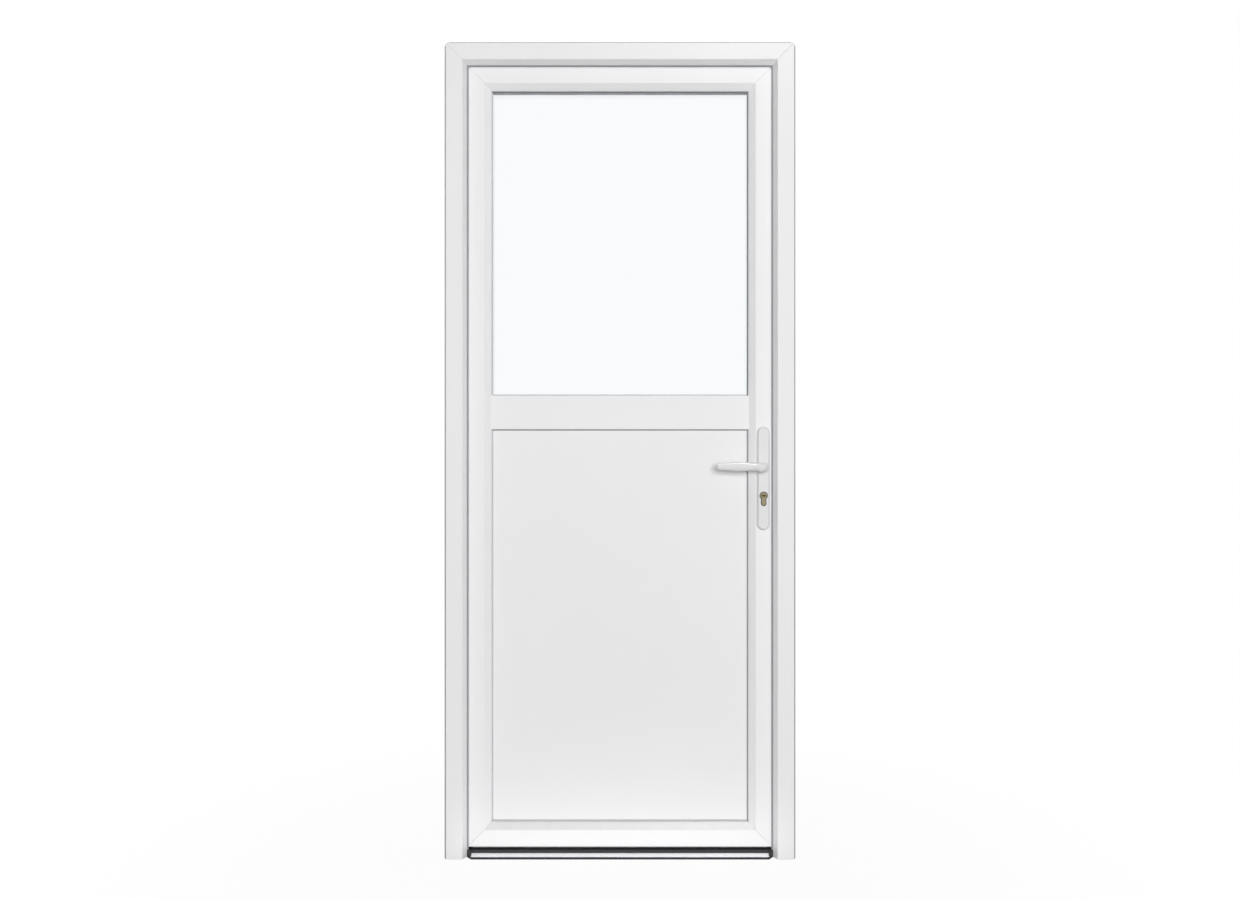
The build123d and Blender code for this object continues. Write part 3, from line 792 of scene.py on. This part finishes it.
def cross_reach(angle, arm, half_width):
    """Distance from the middle to the edge of a cross recess."""
    across = max(abs(math.cos(angle)), 1e-6)
    along = max(abs(math.sin(angle)), 1e-6)
    return max(min(half_width / across, arm / along), min(arm / across, half_width / along))


def add_screw(mesh_builder, matrix, radius, rise):
    """A raised countersunk head with a cross recess, its rim at the matrix's origin."""
    angles = [2 * math.pi * (i + 0.5) / SCREW_STEPS for i in range(SCREW_STEPS)]
    rings = []
    for share, height in HEAD_PROFILE:
        rings.append([turned(matrix, radius * share, angle, height * rise) for angle in angles])
    for share, depth in RECESS_PROFILE:
        ring = []
        for angle in angles:
            reach = cross_reach(angle, RECESS_ARM * radius, RECESS_HALF_WIDTH * radius) * share
            ring.append(turned(matrix, reach, angle, rise - depth * radius))
        rings.append(ring)
    skin_rings(mesh_builder, rings, centre=matrix @ Vector((0, 0, rise - RECESS_FLOOR * radius)))


def screws(name, places, direction, radius, rise, body):
    """One piece of several like plated screws, each turned a little from the last."""
    mesh_builder = bmesh.new()
    for i, place in enumerate(places):
        add_screw(mesh_builder, aimed(place, direction, NEXT_TURN * i + FIRST_TURN), radius, rise)
    piece = new_piece(name, mesh_builder, bpy.data.materials["plated_screw"], body)
    piece.data.shade_smooth()
    edges = piece.modifiers.new("crisp_recess", "WEIGHTED_NORMAL")
    edges.weight = RECESS_WEIGHT


def add_lathe(mesh_builder, matrix, profile):
    """A ring turned from a closed profile of radius and height."""
    rings = []
    for i in range(LATHE_STEPS):
        angle = 2 * math.pi * i / LATHE_STEPS
        rings.append([turned(matrix, radius, angle, height) for radius, height in profile])
    skin_rings(mesh_builder, rings, joined=True)


def oval_ring(centre, across, half_width, half_height, squareness, under=2.0):
    """Points of a rounded upright section: squareness 2 is an oval, more is boxier, under is for below."""
    ring = []
    for i in range(OVAL_STEPS):
        angle = 2 * math.pi * i / OVAL_STEPS
        power = 2 / (squareness if math.sin(angle) > 0 else under)
        side = math.copysign(abs(math.cos(angle)) ** power, math.cos(angle))
        up = math.copysign(abs(math.sin(angle)) ** power, math.sin(angle))
        ring.append(Vector(centre) + Vector(across) * half_width * side + Vector((0, 0, half_height * up)))
    return ring


def eased(stations, along):
    """Values between two stations, with no corner at a station."""
    for start, end in zip(stations, stations[1:]):
        if along <= end[0]:
            share = (along - start[0]) / (end[0] - start[0])
            share = share * share * (3 - 2 * share)
            return [a + (b - a) * share for a, b in zip(start[1:], end[1:])]
    return list(stations[-1][1:])


def euro_outline(sizes, gap):
    """Outline of the cylinder's profile about its plug, made larger by a gap."""
    radius = sizes.euro_radius + gap
    half_tail = sizes.euro_tail / 2 + gap
    drop = sizes.euro_total - sizes.euro_radius - sizes.euro_tail / 2
    start = -math.acos(half_tail / radius)
    outline = []
    for i in range(ARC_STEPS + 1):
        angle = start + (math.pi - 2 * start) * i / ARC_STEPS
        outline.append((radius * math.cos(angle), radius * math.sin(angle)))
    for i in range(ARC_STEPS + 1):
        angle = math.pi + math.pi * i / ARC_STEPS
        outline.append((half_tail * math.cos(angle), half_tail * math.sin(angle) - drop))
    return outline


def slot_outline(half_length, half_height):
    """Outline of a level slot with round ends."""
    reach = half_length - half_height
    outline = []
    for i in range(ARC_STEPS):
        angle = 2 * math.pi * (i + 0.5) / ARC_STEPS
        across = math.copysign(reach, math.cos(angle)) + half_height * math.cos(angle)
        outline.append((across, half_height * math.sin(angle)))
    return outline


def upright_ring(centre, y, outline):
    """An outline about a centre, stood upright at a Y."""
    return [(centre.x + across, y, centre.z + up) for across, up in outline]


def joint_place(name):
    """Where a joint's axis passes."""
    return Vector(next(joint["pos_m"] for joint in frame["joints"] if joint["name"] == name))


def outer_y(name, outward):
    """The Y of a node's face that looks outward, to the outside or the inside."""
    low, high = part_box(name)
    return low.y if outward < 0 else high.y


# Operators


class SERVICEDOOR_OT_frame_members(Operator):
    """Finish the jambs and the head"""

    bl_idname = "service_door.frame_members"
    bl_label = "Jambs and Head"
    bl_options = {"REGISTER", "UNDO"}

    def execute(self, context):
        settings = context.scene.service_door.pvc
        upright = pvc("frame_pvc_upright", settings.frame_colour, UPRIGHT_LINES)
        dress(FRAME_UPRIGHTS, upright, settings.weld_width)
        level = pvc("frame_pvc_level", settings.frame_colour, LEVEL_LINES)
        dress(FRAME_LEVELS, level, settings.weld_width)
        return {"FINISHED"}


class SERVICEDOOR_OT_leaf_members(Operator):
    """Finish the stiles, the rails and the glazing beads"""

    bl_idname = "service_door.leaf_members"
    bl_label = "Stiles, Rails and Beads"
    bl_options = {"REGISTER", "UNDO"}

    def execute(self, context):
        settings = context.scene.service_door.pvc
        upright = pvc("leaf_pvc_upright", settings.leaf_colour, UPRIGHT_LINES)
        level = pvc("leaf_pvc_level", settings.leaf_colour, LEVEL_LINES)
        # The bottom rail's copy is whiter, which is painted light, and it takes a large share of dust that
        # is mostly painted shade
        bottom_rail_lit_shaded = pvc("leaf_pvc_lowest", settings.rail_colour, LEVEL_LINES, dust=BOTTOM_RAIL_DUST_AND_SHADE)
        dress(LEAF_UPRIGHTS, upright, settings.weld_width)
        dress(LEAF_LEVELS, level, settings.weld_width)
        dress(("bottom_rail",), bottom_rail_lit_shaded, settings.weld_width)
        dress(BEAD_UPRIGHTS, upright, settings.bead_edge)
        dress(BEAD_LEVELS, level, settings.bead_edge)
        return {"FINISHED"}


class SERVICEDOOR_OT_gaskets(Operator):
    """Finish the rubber seals, with painted light on the left and bottom runs round the glass and the panel
    """

    bl_idname = "service_door.gaskets"
    bl_label = "Gaskets"
    bl_options = {"REGISTER", "UNDO"}

    def execute(self, context):
        door = context.scene.service_door
        seals = door.gasket
        for names, name, colour in (
            (FRAME_SEALS, "grey_rubber", seals.colour),
            # The glass seal's darker grey is painted shade
            (("glass_gasket",), "glass_rubber", seals.glass_colour),
            (("panel_gasket",), "panel_rubber", seals.panel_colour),
        ):
            dust = (RUBBER_DUST, door.pvc.dust_colour)
            rubber = moulded(
                name, colour, RUBBER_BUMP, grain=1100.0, contrast=0.12, roughness=0.62, dust=dust
            )
            dress(names, rubber, seals.edge, segments=3)
        # Painted light on the left and bottom runs of the seals round the glass and the panel
        self.fade("glass_gasket", seals)
        self.fade("panel_gasket", seals)
        return {"FINISHED"}

    def fade(self, name, seals):
        """Lay the paler painted-light colour over the left and bottom runs of one seal."""
        material = frame["nodes"][name].material_slots[0].material
        tree = material.node_tree
        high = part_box(name)[1]
        runs = put_node(tree, "ShaderNodeGroup", node_tree=faded_runs())
        feed(
            tree,
            runs,
            Vector=object_place(tree),
            Right_Run=high.x - seals.run_width,
            Top_Run=high.z - seals.run_width,
        )
        lay_over(material, runs.outputs["Share"], seals.faded_colour)


class SERVICEDOOR_OT_glazing(Operator):
    """Finish the double glass and its spacer"""

    bl_idname = "service_door.glazing"
    bl_label = "Double Glass"
    bl_options = {"REGISTER", "UNDO"}

    def execute(self, context):
        settings = context.scene.service_door.glazing
        give(("outer_pane", "inner_pane"), glass("clear_float_glass", settings.tint))
        spacer = metal(
            "spacer_bar",
            settings.spacer_colour,
            settings.spacer_stain,
            stain_share=0.4,
            lines=SPACER_LINES,
            roughness=0.42,
        )
        dress(("glass_spacer",), spacer, settings.pane_edge)
        return {"FINISHED"}


class SERVICEDOOR_OT_lower_panel(Operator):
    """Finish the smooth lower panel"""

    bl_idname = "service_door.lower_panel"
    bl_label = "Lower Panel"
    bl_options = {"REGISTER", "UNDO"}

    def execute(self, context):
        settings = context.scene.service_door.pvc
        sheet = pvc("panel_pvc_sheet", settings.panel_colour, UPRIGHT_LINES)
        dress(("lower_panel",), sheet, settings.bead_edge)
        return {"FINISHED"}


class SERVICEDOOR_OT_threshold(Operator):
    """Finish the aluminium sill, its black upstand and the end blocks"""

    bl_idname = "service_door.threshold"
    bl_label = "Threshold"
    bl_options = {"REGISTER", "UNDO"}

    def execute(self, context):
        door = context.scene.service_door
        settings = door.threshold
        aluminium = metal(
            "brushed_aluminium",
            settings.metal_colour,
            settings.metal_stain,
            stain_share=0.3,
            lines=SILL_LINES,
            roughness=0.3,
            metallic=0.1,
            dust=(SILL_DUST, door.pvc.dust_colour),
        )
        tree = aluminium.node_tree
        # Painted shade: the sill's forward faces get the dark front colour
        front = calculate(tree, "LESS_THAN", axes(tree, surface_normal(tree))["Y"], SILL_SHADED_FRONT)
        lay_over(aluminium, front, settings.front_colour)
        dress(("threshold_sill",), aluminium, settings.edge)
        black = moulded(
            "black_polymer", settings.black_colour, POLYMER_BUMP, grain=800.0, contrast=0.2, roughness=0.55
        )
        feed(black.node_tree, principled(black), Specular_IOR_Level=0.3)
        dress(("threshold_upstand", "hinge_end_block", "lock_end_block"), black, settings.edge)
        return {"FINISHED"}


class SERVICEDOOR_OT_lever_furniture(Operator):
    """Finish the levers and plates and add the inside screws"""

    bl_idname = "service_door.lever_furniture"
    bl_label = "Levers and Plates"
    bl_options = {"REGISTER", "UNDO"}

    def execute(self, context):
        door = context.scene.service_door
        sizes = door.furniture
        plate_white = lacquer("white_lacquer", sizes.lacquer_colour, roughness=0.34)
        give(("outside_plate", "inside_plate"), plate_white)
        lever_white = lacquer("white_lever_lacquer", sizes.lever_colour, roughness=0.3)
        for side, outward in SIDES:
            self.lever(side, outward, lever_white, sizes)
        metal(
            "plated_screw",
            door.lock.screw_colour,
            door.lock.screw_stain,
            stain_share=0.4,
            lines=SCREW_LINES,
            roughness=0.32,
        )
        low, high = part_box("inside_plate")
        middle = (low.x + high.x) / 2
        inset = (high.x - low.x) / 2
        places = [(middle, high.y, low.z + inset), (middle, high.y, high.z - inset)]
        screws("inside_plate_screws", places, (0, 1, 0), sizes.screw_radius, PLATE_SCREW_RISE, "leaf")
        return {"FINISHED"}

    def lever(self, side, outward, material, sizes):
        """Loft one lever from its collar, round the elbow and along the bar to the tip."""
        pivot = joint_place("lever_turn")
        plate_y = outer_y(f"{side}_plate", outward)
        tip_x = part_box(f"{side}_lever")[0].x
        bar_y = outer_y(f"{side}_lever", outward) - outward * sizes.neck_width / 2
        bend_y = bar_y - outward * sizes.elbow_radius
        bend_x = pivot.x - sizes.elbow_radius
        collar = sizes.collar_radius
        neck_x = sizes.neck_width / 2
        neck_z = sizes.neck_height / 2
        collar_end = plate_y + outward * sizes.collar_proud
        step = 0.1 * sizes.collar_proud
        rings = []
        for y, width, height in (
            (plate_y - outward * sizes.collar_proud, collar, collar),
            (collar_end - outward * step, collar, collar),
            (collar_end, neck_x - 2 * step, neck_z - 2 * step),
            (collar_end + outward * step, neck_x - 0.5 * step, neck_z - 0.5 * step),
            (collar_end + outward * 4 * step, neck_x, neck_z),
        ):
            rings.append(oval_ring((pivot.x, y, pivot.z), (1, 0, 0), width, height, 2.0))
        for i in range(ELBOW_STEPS):
            turn = 0.5 * math.pi * i / ELBOW_STEPS
            across = Vector((math.cos(turn), outward * math.sin(turn), 0))
            centre = Vector((bend_x, bend_y, pivot.z)) + sizes.elbow_radius * across
            rings.append(oval_ring(centre, across, neck_x, neck_z, 2.0))
        # Share of the bar, half width, half height, rise, and squareness of the upper and lower halves
        stations = (
            (0.0, neck_x, neck_z, 0.0, 2.0, 2.0),
            (0.08, 0.78 * neck_x, 0.84 * neck_z, 0.7 * sizes.bar_rise, 2.1, 1.85),
            (0.50, sizes.bar_width / 2, sizes.bar_height / 2, sizes.bar_rise, 2.4, 1.65),
            (1.0, sizes.tip_width / 2, sizes.tip_height / 2, sizes.bar_rise, 2.6, 1.75),
        )
        bar_length = bend_x - tip_x - sizes.tip_length
        for i in range(BAR_STEPS + 1):
            along = i / BAR_STEPS
            width, height, rise, square, under = eased(stations, along)
            centre = (bend_x - along * bar_length, bar_y, pivot.z + rise)
            rings.append(oval_ring(centre, (0, outward, 0), width, height, square, under))
        for i in range(1, TIP_STEPS + 1):
            turn = 0.5 * math.pi * i / TIP_STEPS
            shrink = sizes.tip_round * (1 - math.cos(turn))
            centre = (tip_x + sizes.tip_length * (1 - math.sin(turn)), bar_y, pivot.z + rise)
            rings.append(oval_ring(centre, (0, outward, 0), width - shrink, height - shrink, square, under))
        mesh_builder = bmesh.new()
        skin_rings(mesh_builder, rings, centre=(tip_x, bar_y, pivot.z + rise))
        piece = new_piece(f"{side}_lever_cast", mesh_builder, material, "levers")
        piece.data.shade_smooth()
        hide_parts(f"{side}_lever")


class SERVICEDOOR_OT_cylinder(Operator):
    """Finish the brass cylinder and its plug, and add the dark liner and the brown keyway plate, both
    painted shade
    """

    bl_idname = "service_door.cylinder"
    bl_label = "Cylinder"
    bl_options = {"REGISTER", "UNDO"}

    def execute(self, context):
        sizes = context.scene.service_door.furniture
        brass = metal(
            "satin_brass",
            sizes.brass_colour,
            sizes.tarnish_colour,
            stain_share=0.7,
            lines=CYLINDER_LINES,
            roughness=0.36,
            metallic=0.4,
        )
        dress(("lock_cylinder", "outside_plug"), brass, sizes.edge)
        plug = joint_place("plug_turn")
        for side, outward in SIDES:
            self.liner(side, outward, plug, sizes)
        self.shutter(plug, sizes)
        return {"FINISHED"}

    def liner(self, side, outward, plug, sizes):
        """Dark ring between one plate and the cylinder: painted shade for the shadow gap there."""
        plate_y = outer_y(f"{side}_plate", outward)
        rings = []
        for gap, proud in SHADE_RING_PROFILE:
            y = plate_y + outward * proud * sizes.surround
            rings.append(upright_ring(plug, y, euro_outline(sizes, gap * sizes.surround)))
        mesh_builder = bmesh.new()
        skin_rings(mesh_builder, rings, joined=True)
        dark = bpy.data.materials["black_polymer"]
        new_piece(f"{side}_cylinder_surround", mesh_builder, dark, "leaf")

    def shutter(self, plug, sizes):
        """Brown plate over the keyway: painted shade for the keyway's dark hollow."""
        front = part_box("outside_plug")[0].y
        rings = []
        for inset, proud in KEYWAY_SHADE_PROFILE:
            shrink = inset * MILLIMETRE
            outline = slot_outline(sizes.keyway_length / 2 - shrink, sizes.keyway_height / 2 - shrink)
            rings.append(upright_ring(plug, front - proud * MILLIMETRE, outline))
        mesh_builder = bmesh.new()
        skin_rings(mesh_builder, rings, centre=(plug.x, front - KEYWAY_SHADE_MIDDLE * MILLIMETRE, plug.z))
        brown = moulded(
            "brown_shutter", sizes.shutter_colour, KEYWAY_SHADE_BUMP, grain=900.0, contrast=0.1, roughness=0.6
        )
        new_piece("key_shutter", mesh_builder, brown, "plug")


class SERVICEDOOR_OT_lock_edge(Operator):
    """Finish the faceplate, bolts and keepers and add their screws"""

    bl_idname = "service_door.lock_edge"
    bl_label = "Lock Edge"
    bl_options = {"REGISTER", "UNDO"}

    def execute(self, context):
        door = context.scene.service_door
        steel = metal(
            "zinc_plate",
            door.lock.steel_colour,
            door.lock.steel_stain,
            stain_share=0.45,
            lines=FACEPLATE_LINES,
            roughness=0.33,
            dust=(STEEL_DUST, door.pvc.dust_colour),
        )
        dress(("lock_faceplate", "latch_bolt", "dead_bolt") + KEEPERS, steel, door.lock.edge)
        radius = door.lock.screw_radius
        low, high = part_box("lock_faceplate")
        plug_low, plug_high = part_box("outside_plug")
        heights = [low.z + FACEPLATE_INSET, (plug_low.z + plug_high.z) / 2, high.z - FACEPLATE_INSET]
        for i in range(1, FACEPLATE_FIELDS):
            heights.append(low.z + (high.z - low.z) * i / FACEPLATE_FIELDS + FIELD_LIFT)
        places = [(high.x, (low.y + high.y) / 2, height) for height in heights]
        screws("faceplate_screws", places, (1, 0, 0), radius, LOCK_SCREW_RISE, "leaf")
        places = []
        for name in KEEPERS:
            low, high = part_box(name)
            for height in (low.z + KEEPER_INSET, high.z - KEEPER_INSET):
                places.append((low.x, (low.y + high.y) / 2, height))
        screws("keeper_screws", places, (-1, 0, 0), radius, LOCK_SCREW_RISE, "frame")
        return {"FINISHED"}


class SERVICEDOOR_OT_hinges(Operator):
    """Finish the hinges and add their screws, washers and caps"""

    bl_idname = "service_door.hinges"
    bl_label = "Hinges"
    bl_options = {"REGISTER", "UNDO"}

    def execute(self, context):
        door = context.scene.service_door
        sizes = door.furniture
        white = lacquer("white_hinge_lacquer", sizes.hinge_colour, roughness=0.38)
        axis = joint_place("leaf_swing")
        frame_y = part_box("hinge_jamb")[1].y + sizes.hinge_plate
        leaf_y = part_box("hinge_stile")[1].y + sizes.hinge_plate
        cap = CAP_SHARE * sizes.barrel_radius
        cap_profile = [(cap * share, rise * MILLIMETRE) for share, rise in CAP_PROFILE]
        frame_screws = []
        leaf_screws = []
        washers = bmesh.new()
        leaf_caps = bmesh.new()
        frame_caps = bmesh.new()
        for name in HINGE_NAMES:
            give((f"{name}_hinge_frame_half", f"{name}_hinge_leaf_half"), white)
            low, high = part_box(f"{name}_hinge_frame_half")
            leaf_low, leaf_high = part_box(f"{name}_hinge_leaf_half")
            for height in (low.z + HINGE_INSET, (low.z + high.z) / 2, high.z - HINGE_INSET):
                frame_screws.append((low.x + FRAME_SIDE_INSET * HINGE_INSET, frame_y, height))
            middle = (leaf_low.z + leaf_high.z) / 2
            for height in (middle - HINGE_INSET, middle + HINGE_INSET):
                leaf_screws.append((leaf_high.x - LEAF_SIDE_INSET * HINGE_INSET, leaf_y, height))
            gap = leaf_low.z - (low.z + leaf_high.z - leaf_low.z)
            washer_profile = self.washer_profile(sizes, gap)
            add_lathe(washers, Matrix.Translation((axis.x, axis.y, leaf_low.z - gap)), washer_profile)
            add_lathe(leaf_caps, aimed((axis.x, axis.y, leaf_high.z), (0, 0, 1)), cap_profile)
            add_lathe(frame_caps, aimed((axis.x, axis.y, low.z), (0, 0, -1)), cap_profile)
        radius = door.lock.screw_radius
        screws("frame_hinge_screws", frame_screws, (0, 1, 0), radius, HINGE_SCREW_RISE, "frame")
        screws("leaf_hinge_screws", leaf_screws, (0, 1, 0), radius, HINGE_SCREW_RISE, "leaf")
        new_piece("hinge_washers", washers, bpy.data.materials["panel_rubber"], "frame")
        for body, caps in (("leaf", leaf_caps), ("frame", frame_caps)):
            new_piece(f"{body}_hinge_caps", caps, white, body).data.shade_smooth()
        return {"FINISHED"}

    def washer_profile(self, sizes, gap):
        """Section of the washer that fills the gap between two hinge halves."""
        inner = WASHER_BORE * sizes.pin_radius
        outer = WASHER_RIM * sizes.barrel_radius
        foot = WASHER_FOOT * gap
        top = WASHER_TOP * gap
        return [(inner, foot), (outer, foot), (outer, top), (inner, top)]


class SERVICEDOOR_OT_stage(Operator):
    """Set the floor, the lamps, the world and the camera"""

    bl_idname = "service_door.stage"
    bl_label = "Stage"
    bl_options = {"REGISTER", "UNDO"}

    def execute(self, context):
        stage = context.scene.service_door.stage
        self.floor(stage)
        self.world(stage)
        for name, power, place, target, size in LAMPS:
            self.lamp(name, getattr(stage, power), place, target, size)
        polish = bpy.data.objects[POLISH_LAMP]
        polish.visible_diffuse = False
        polish.visible_glossy = True
        self.camera(stage)
        context.scene.view_settings.view_transform = "Standard"
        return {"FINISHED"}

    def camera(self, stage):
        """Camera square to the front of the door."""
        data = bpy.data.cameras.new("front_camera")
        data.sensor_fit = "HORIZONTAL"
        data.sensor_width = SENSOR_WIDTH
        data.lens = stage.lens
        camera = put_object("front_camera", data)
        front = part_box("head")[0].y
        camera.location = (0.0, front - stage.camera_distance, stage.camera_height)
        camera.rotation_euler = (math.pi / 2, 0.0, 0.0)
        bpy.context.scene.camera = camera

    def lamp(self, name, power, place, target, size):
        """An area lamp that only lights, and isn't seen itself."""
        data = bpy.data.lights.new(name, "AREA")
        data.shape = "RECTANGLE"
        data.size, data.size_y = size
        data.energy = power
        lamp = put_object(name, data)
        lamp.location = place
        lamp.rotation_euler = (Vector(target) - Vector(place)).to_track_quat("-Z", "Y").to_euler()
        lamp.visible_camera = False
        lamp.visible_glossy = False
        lamp.visible_transmission = False

    def seen(self, tree, path):
        """1 for what the camera sees, straight or through the glass."""
        return calculate(tree, "MAXIMUM", path.outputs["Is Camera Ray"], path.outputs["Is Transmission Ray"])

    def floor(self, stage):
        """Pale floor that turns plain white away from the door."""
        mesh_builder = bmesh.new()
        bmesh.ops.create_grid(
            mesh_builder, x_segments=FLOOR_FIELDS, y_segments=FLOOR_FIELDS, size=FLOOR_HALF
        )
        material, tree = new_material("pale_floor")
        matt = principled(material)
        feed(tree, matt, Base_Color=rgba(stage.floor_colour), Roughness=1.0, Specular_IOR_Level=0.0)
        seen = self.seen(tree, put_node(tree, "ShaderNodeLightPath"))
        reach = put_node(tree, "ShaderNodeVectorMath", operation="LENGTH")
        tree.links.new(object_place(tree), reach.inputs[0])
        far = put_node(tree, "ShaderNodeMapRange", interpolation_type="SMOOTHSTEP")
        feed(
            tree,
            far,
            Value=reach.outputs["Value"],
            From_Min=stage.floor_near,
            From_Max=stage.floor_far,
            To_Min=stage.floor_glow,
            To_Max=1.0,
        )
        share = calculate(tree, "MULTIPLY", seen, far.outputs["Result"])
        mix_shaders(tree, share, matt, put_node(tree, "ShaderNodeEmission"))
        put_mesh("pale_floor", mesh_builder, material)

    def world(self, stage):
        """White room that lights the door only a little."""
        world = bpy.data.worlds.new("white_studio")
        bpy.context.scene.world = world
        world.use_nodes = True
        tree = world.node_tree
        path = put_node(tree, "ShaderNodeLightPath")
        polish = stage.polish_light - stage.ambient
        around = calculate(tree, "MULTIPLY_ADD", path.outputs["Is Glossy Ray"], polish, stage.ambient)
        strength = calculate(tree, "MAXIMUM", self.seen(tree, path), around)
        feed(tree, tree.nodes["Background"], Color=(1.0, 1.0, 1.0, 1.0), Strength=strength)


class SERVICEDOOR_PT_build(Panel):
    """Lists the pieces of the door and the stage"""

    bl_idname = "SERVICEDOOR_PT_build"
    bl_label = "Service Door"
    bl_space_type = "VIEW_3D"
    bl_region_type = "UI"
    bl_category = "Service Door"

    def draw(self, context):
        for operator in OPERATORS:
            self.layout.operator(operator.bl_idname)
        door = context.scene.service_door
        for label in DoorSettings.__annotations__:
            group = getattr(door, label)
            box = self.layout.box()
            for setting in group.bl_rna.properties:
                if setting.identifier not in ("rna_type", "name"):
                    box.prop(group, setting.identifier)


SETTINGS = (
    PvcSettings,
    GasketSettings,
    GlazingSettings,
    FurnitureSettings,
    LockSettings,
    ThresholdSettings,
    StageSettings,
    DoorSettings,
)
OPERATORS = (
    SERVICEDOOR_OT_frame_members,
    SERVICEDOOR_OT_leaf_members,
    SERVICEDOOR_OT_gaskets,
    SERVICEDOOR_OT_glazing,
    SERVICEDOOR_OT_lower_panel,
    SERVICEDOOR_OT_threshold,
    SERVICEDOOR_OT_lever_furniture,
    SERVICEDOOR_OT_cylinder,
    SERVICEDOOR_OT_lock_edge,
    SERVICEDOOR_OT_hinges,
    SERVICEDOOR_OT_stage,
)
CLASSES = SETTINGS + OPERATORS + (SERVICEDOOR_PT_build,)


def register():
    """Add the settings, the operators and the panel."""
    for item in CLASSES:
        bpy.utils.register_class(item)
    bpy.types.Scene.service_door = PointerProperty(type=DoorSettings)


def unregister():
    """Take the settings, the operators and the panel away again."""
    del bpy.types.Scene.service_door
    for item in reversed(CLASSES):
        bpy.utils.unregister_class(item)


def main():
    """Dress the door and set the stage."""
    register()
    for operator in OPERATORS:
        group, name = operator.bl_idname.split(".")
        getattr(getattr(bpy.ops, group), name)()


if __name__ == "__main__":
    main()
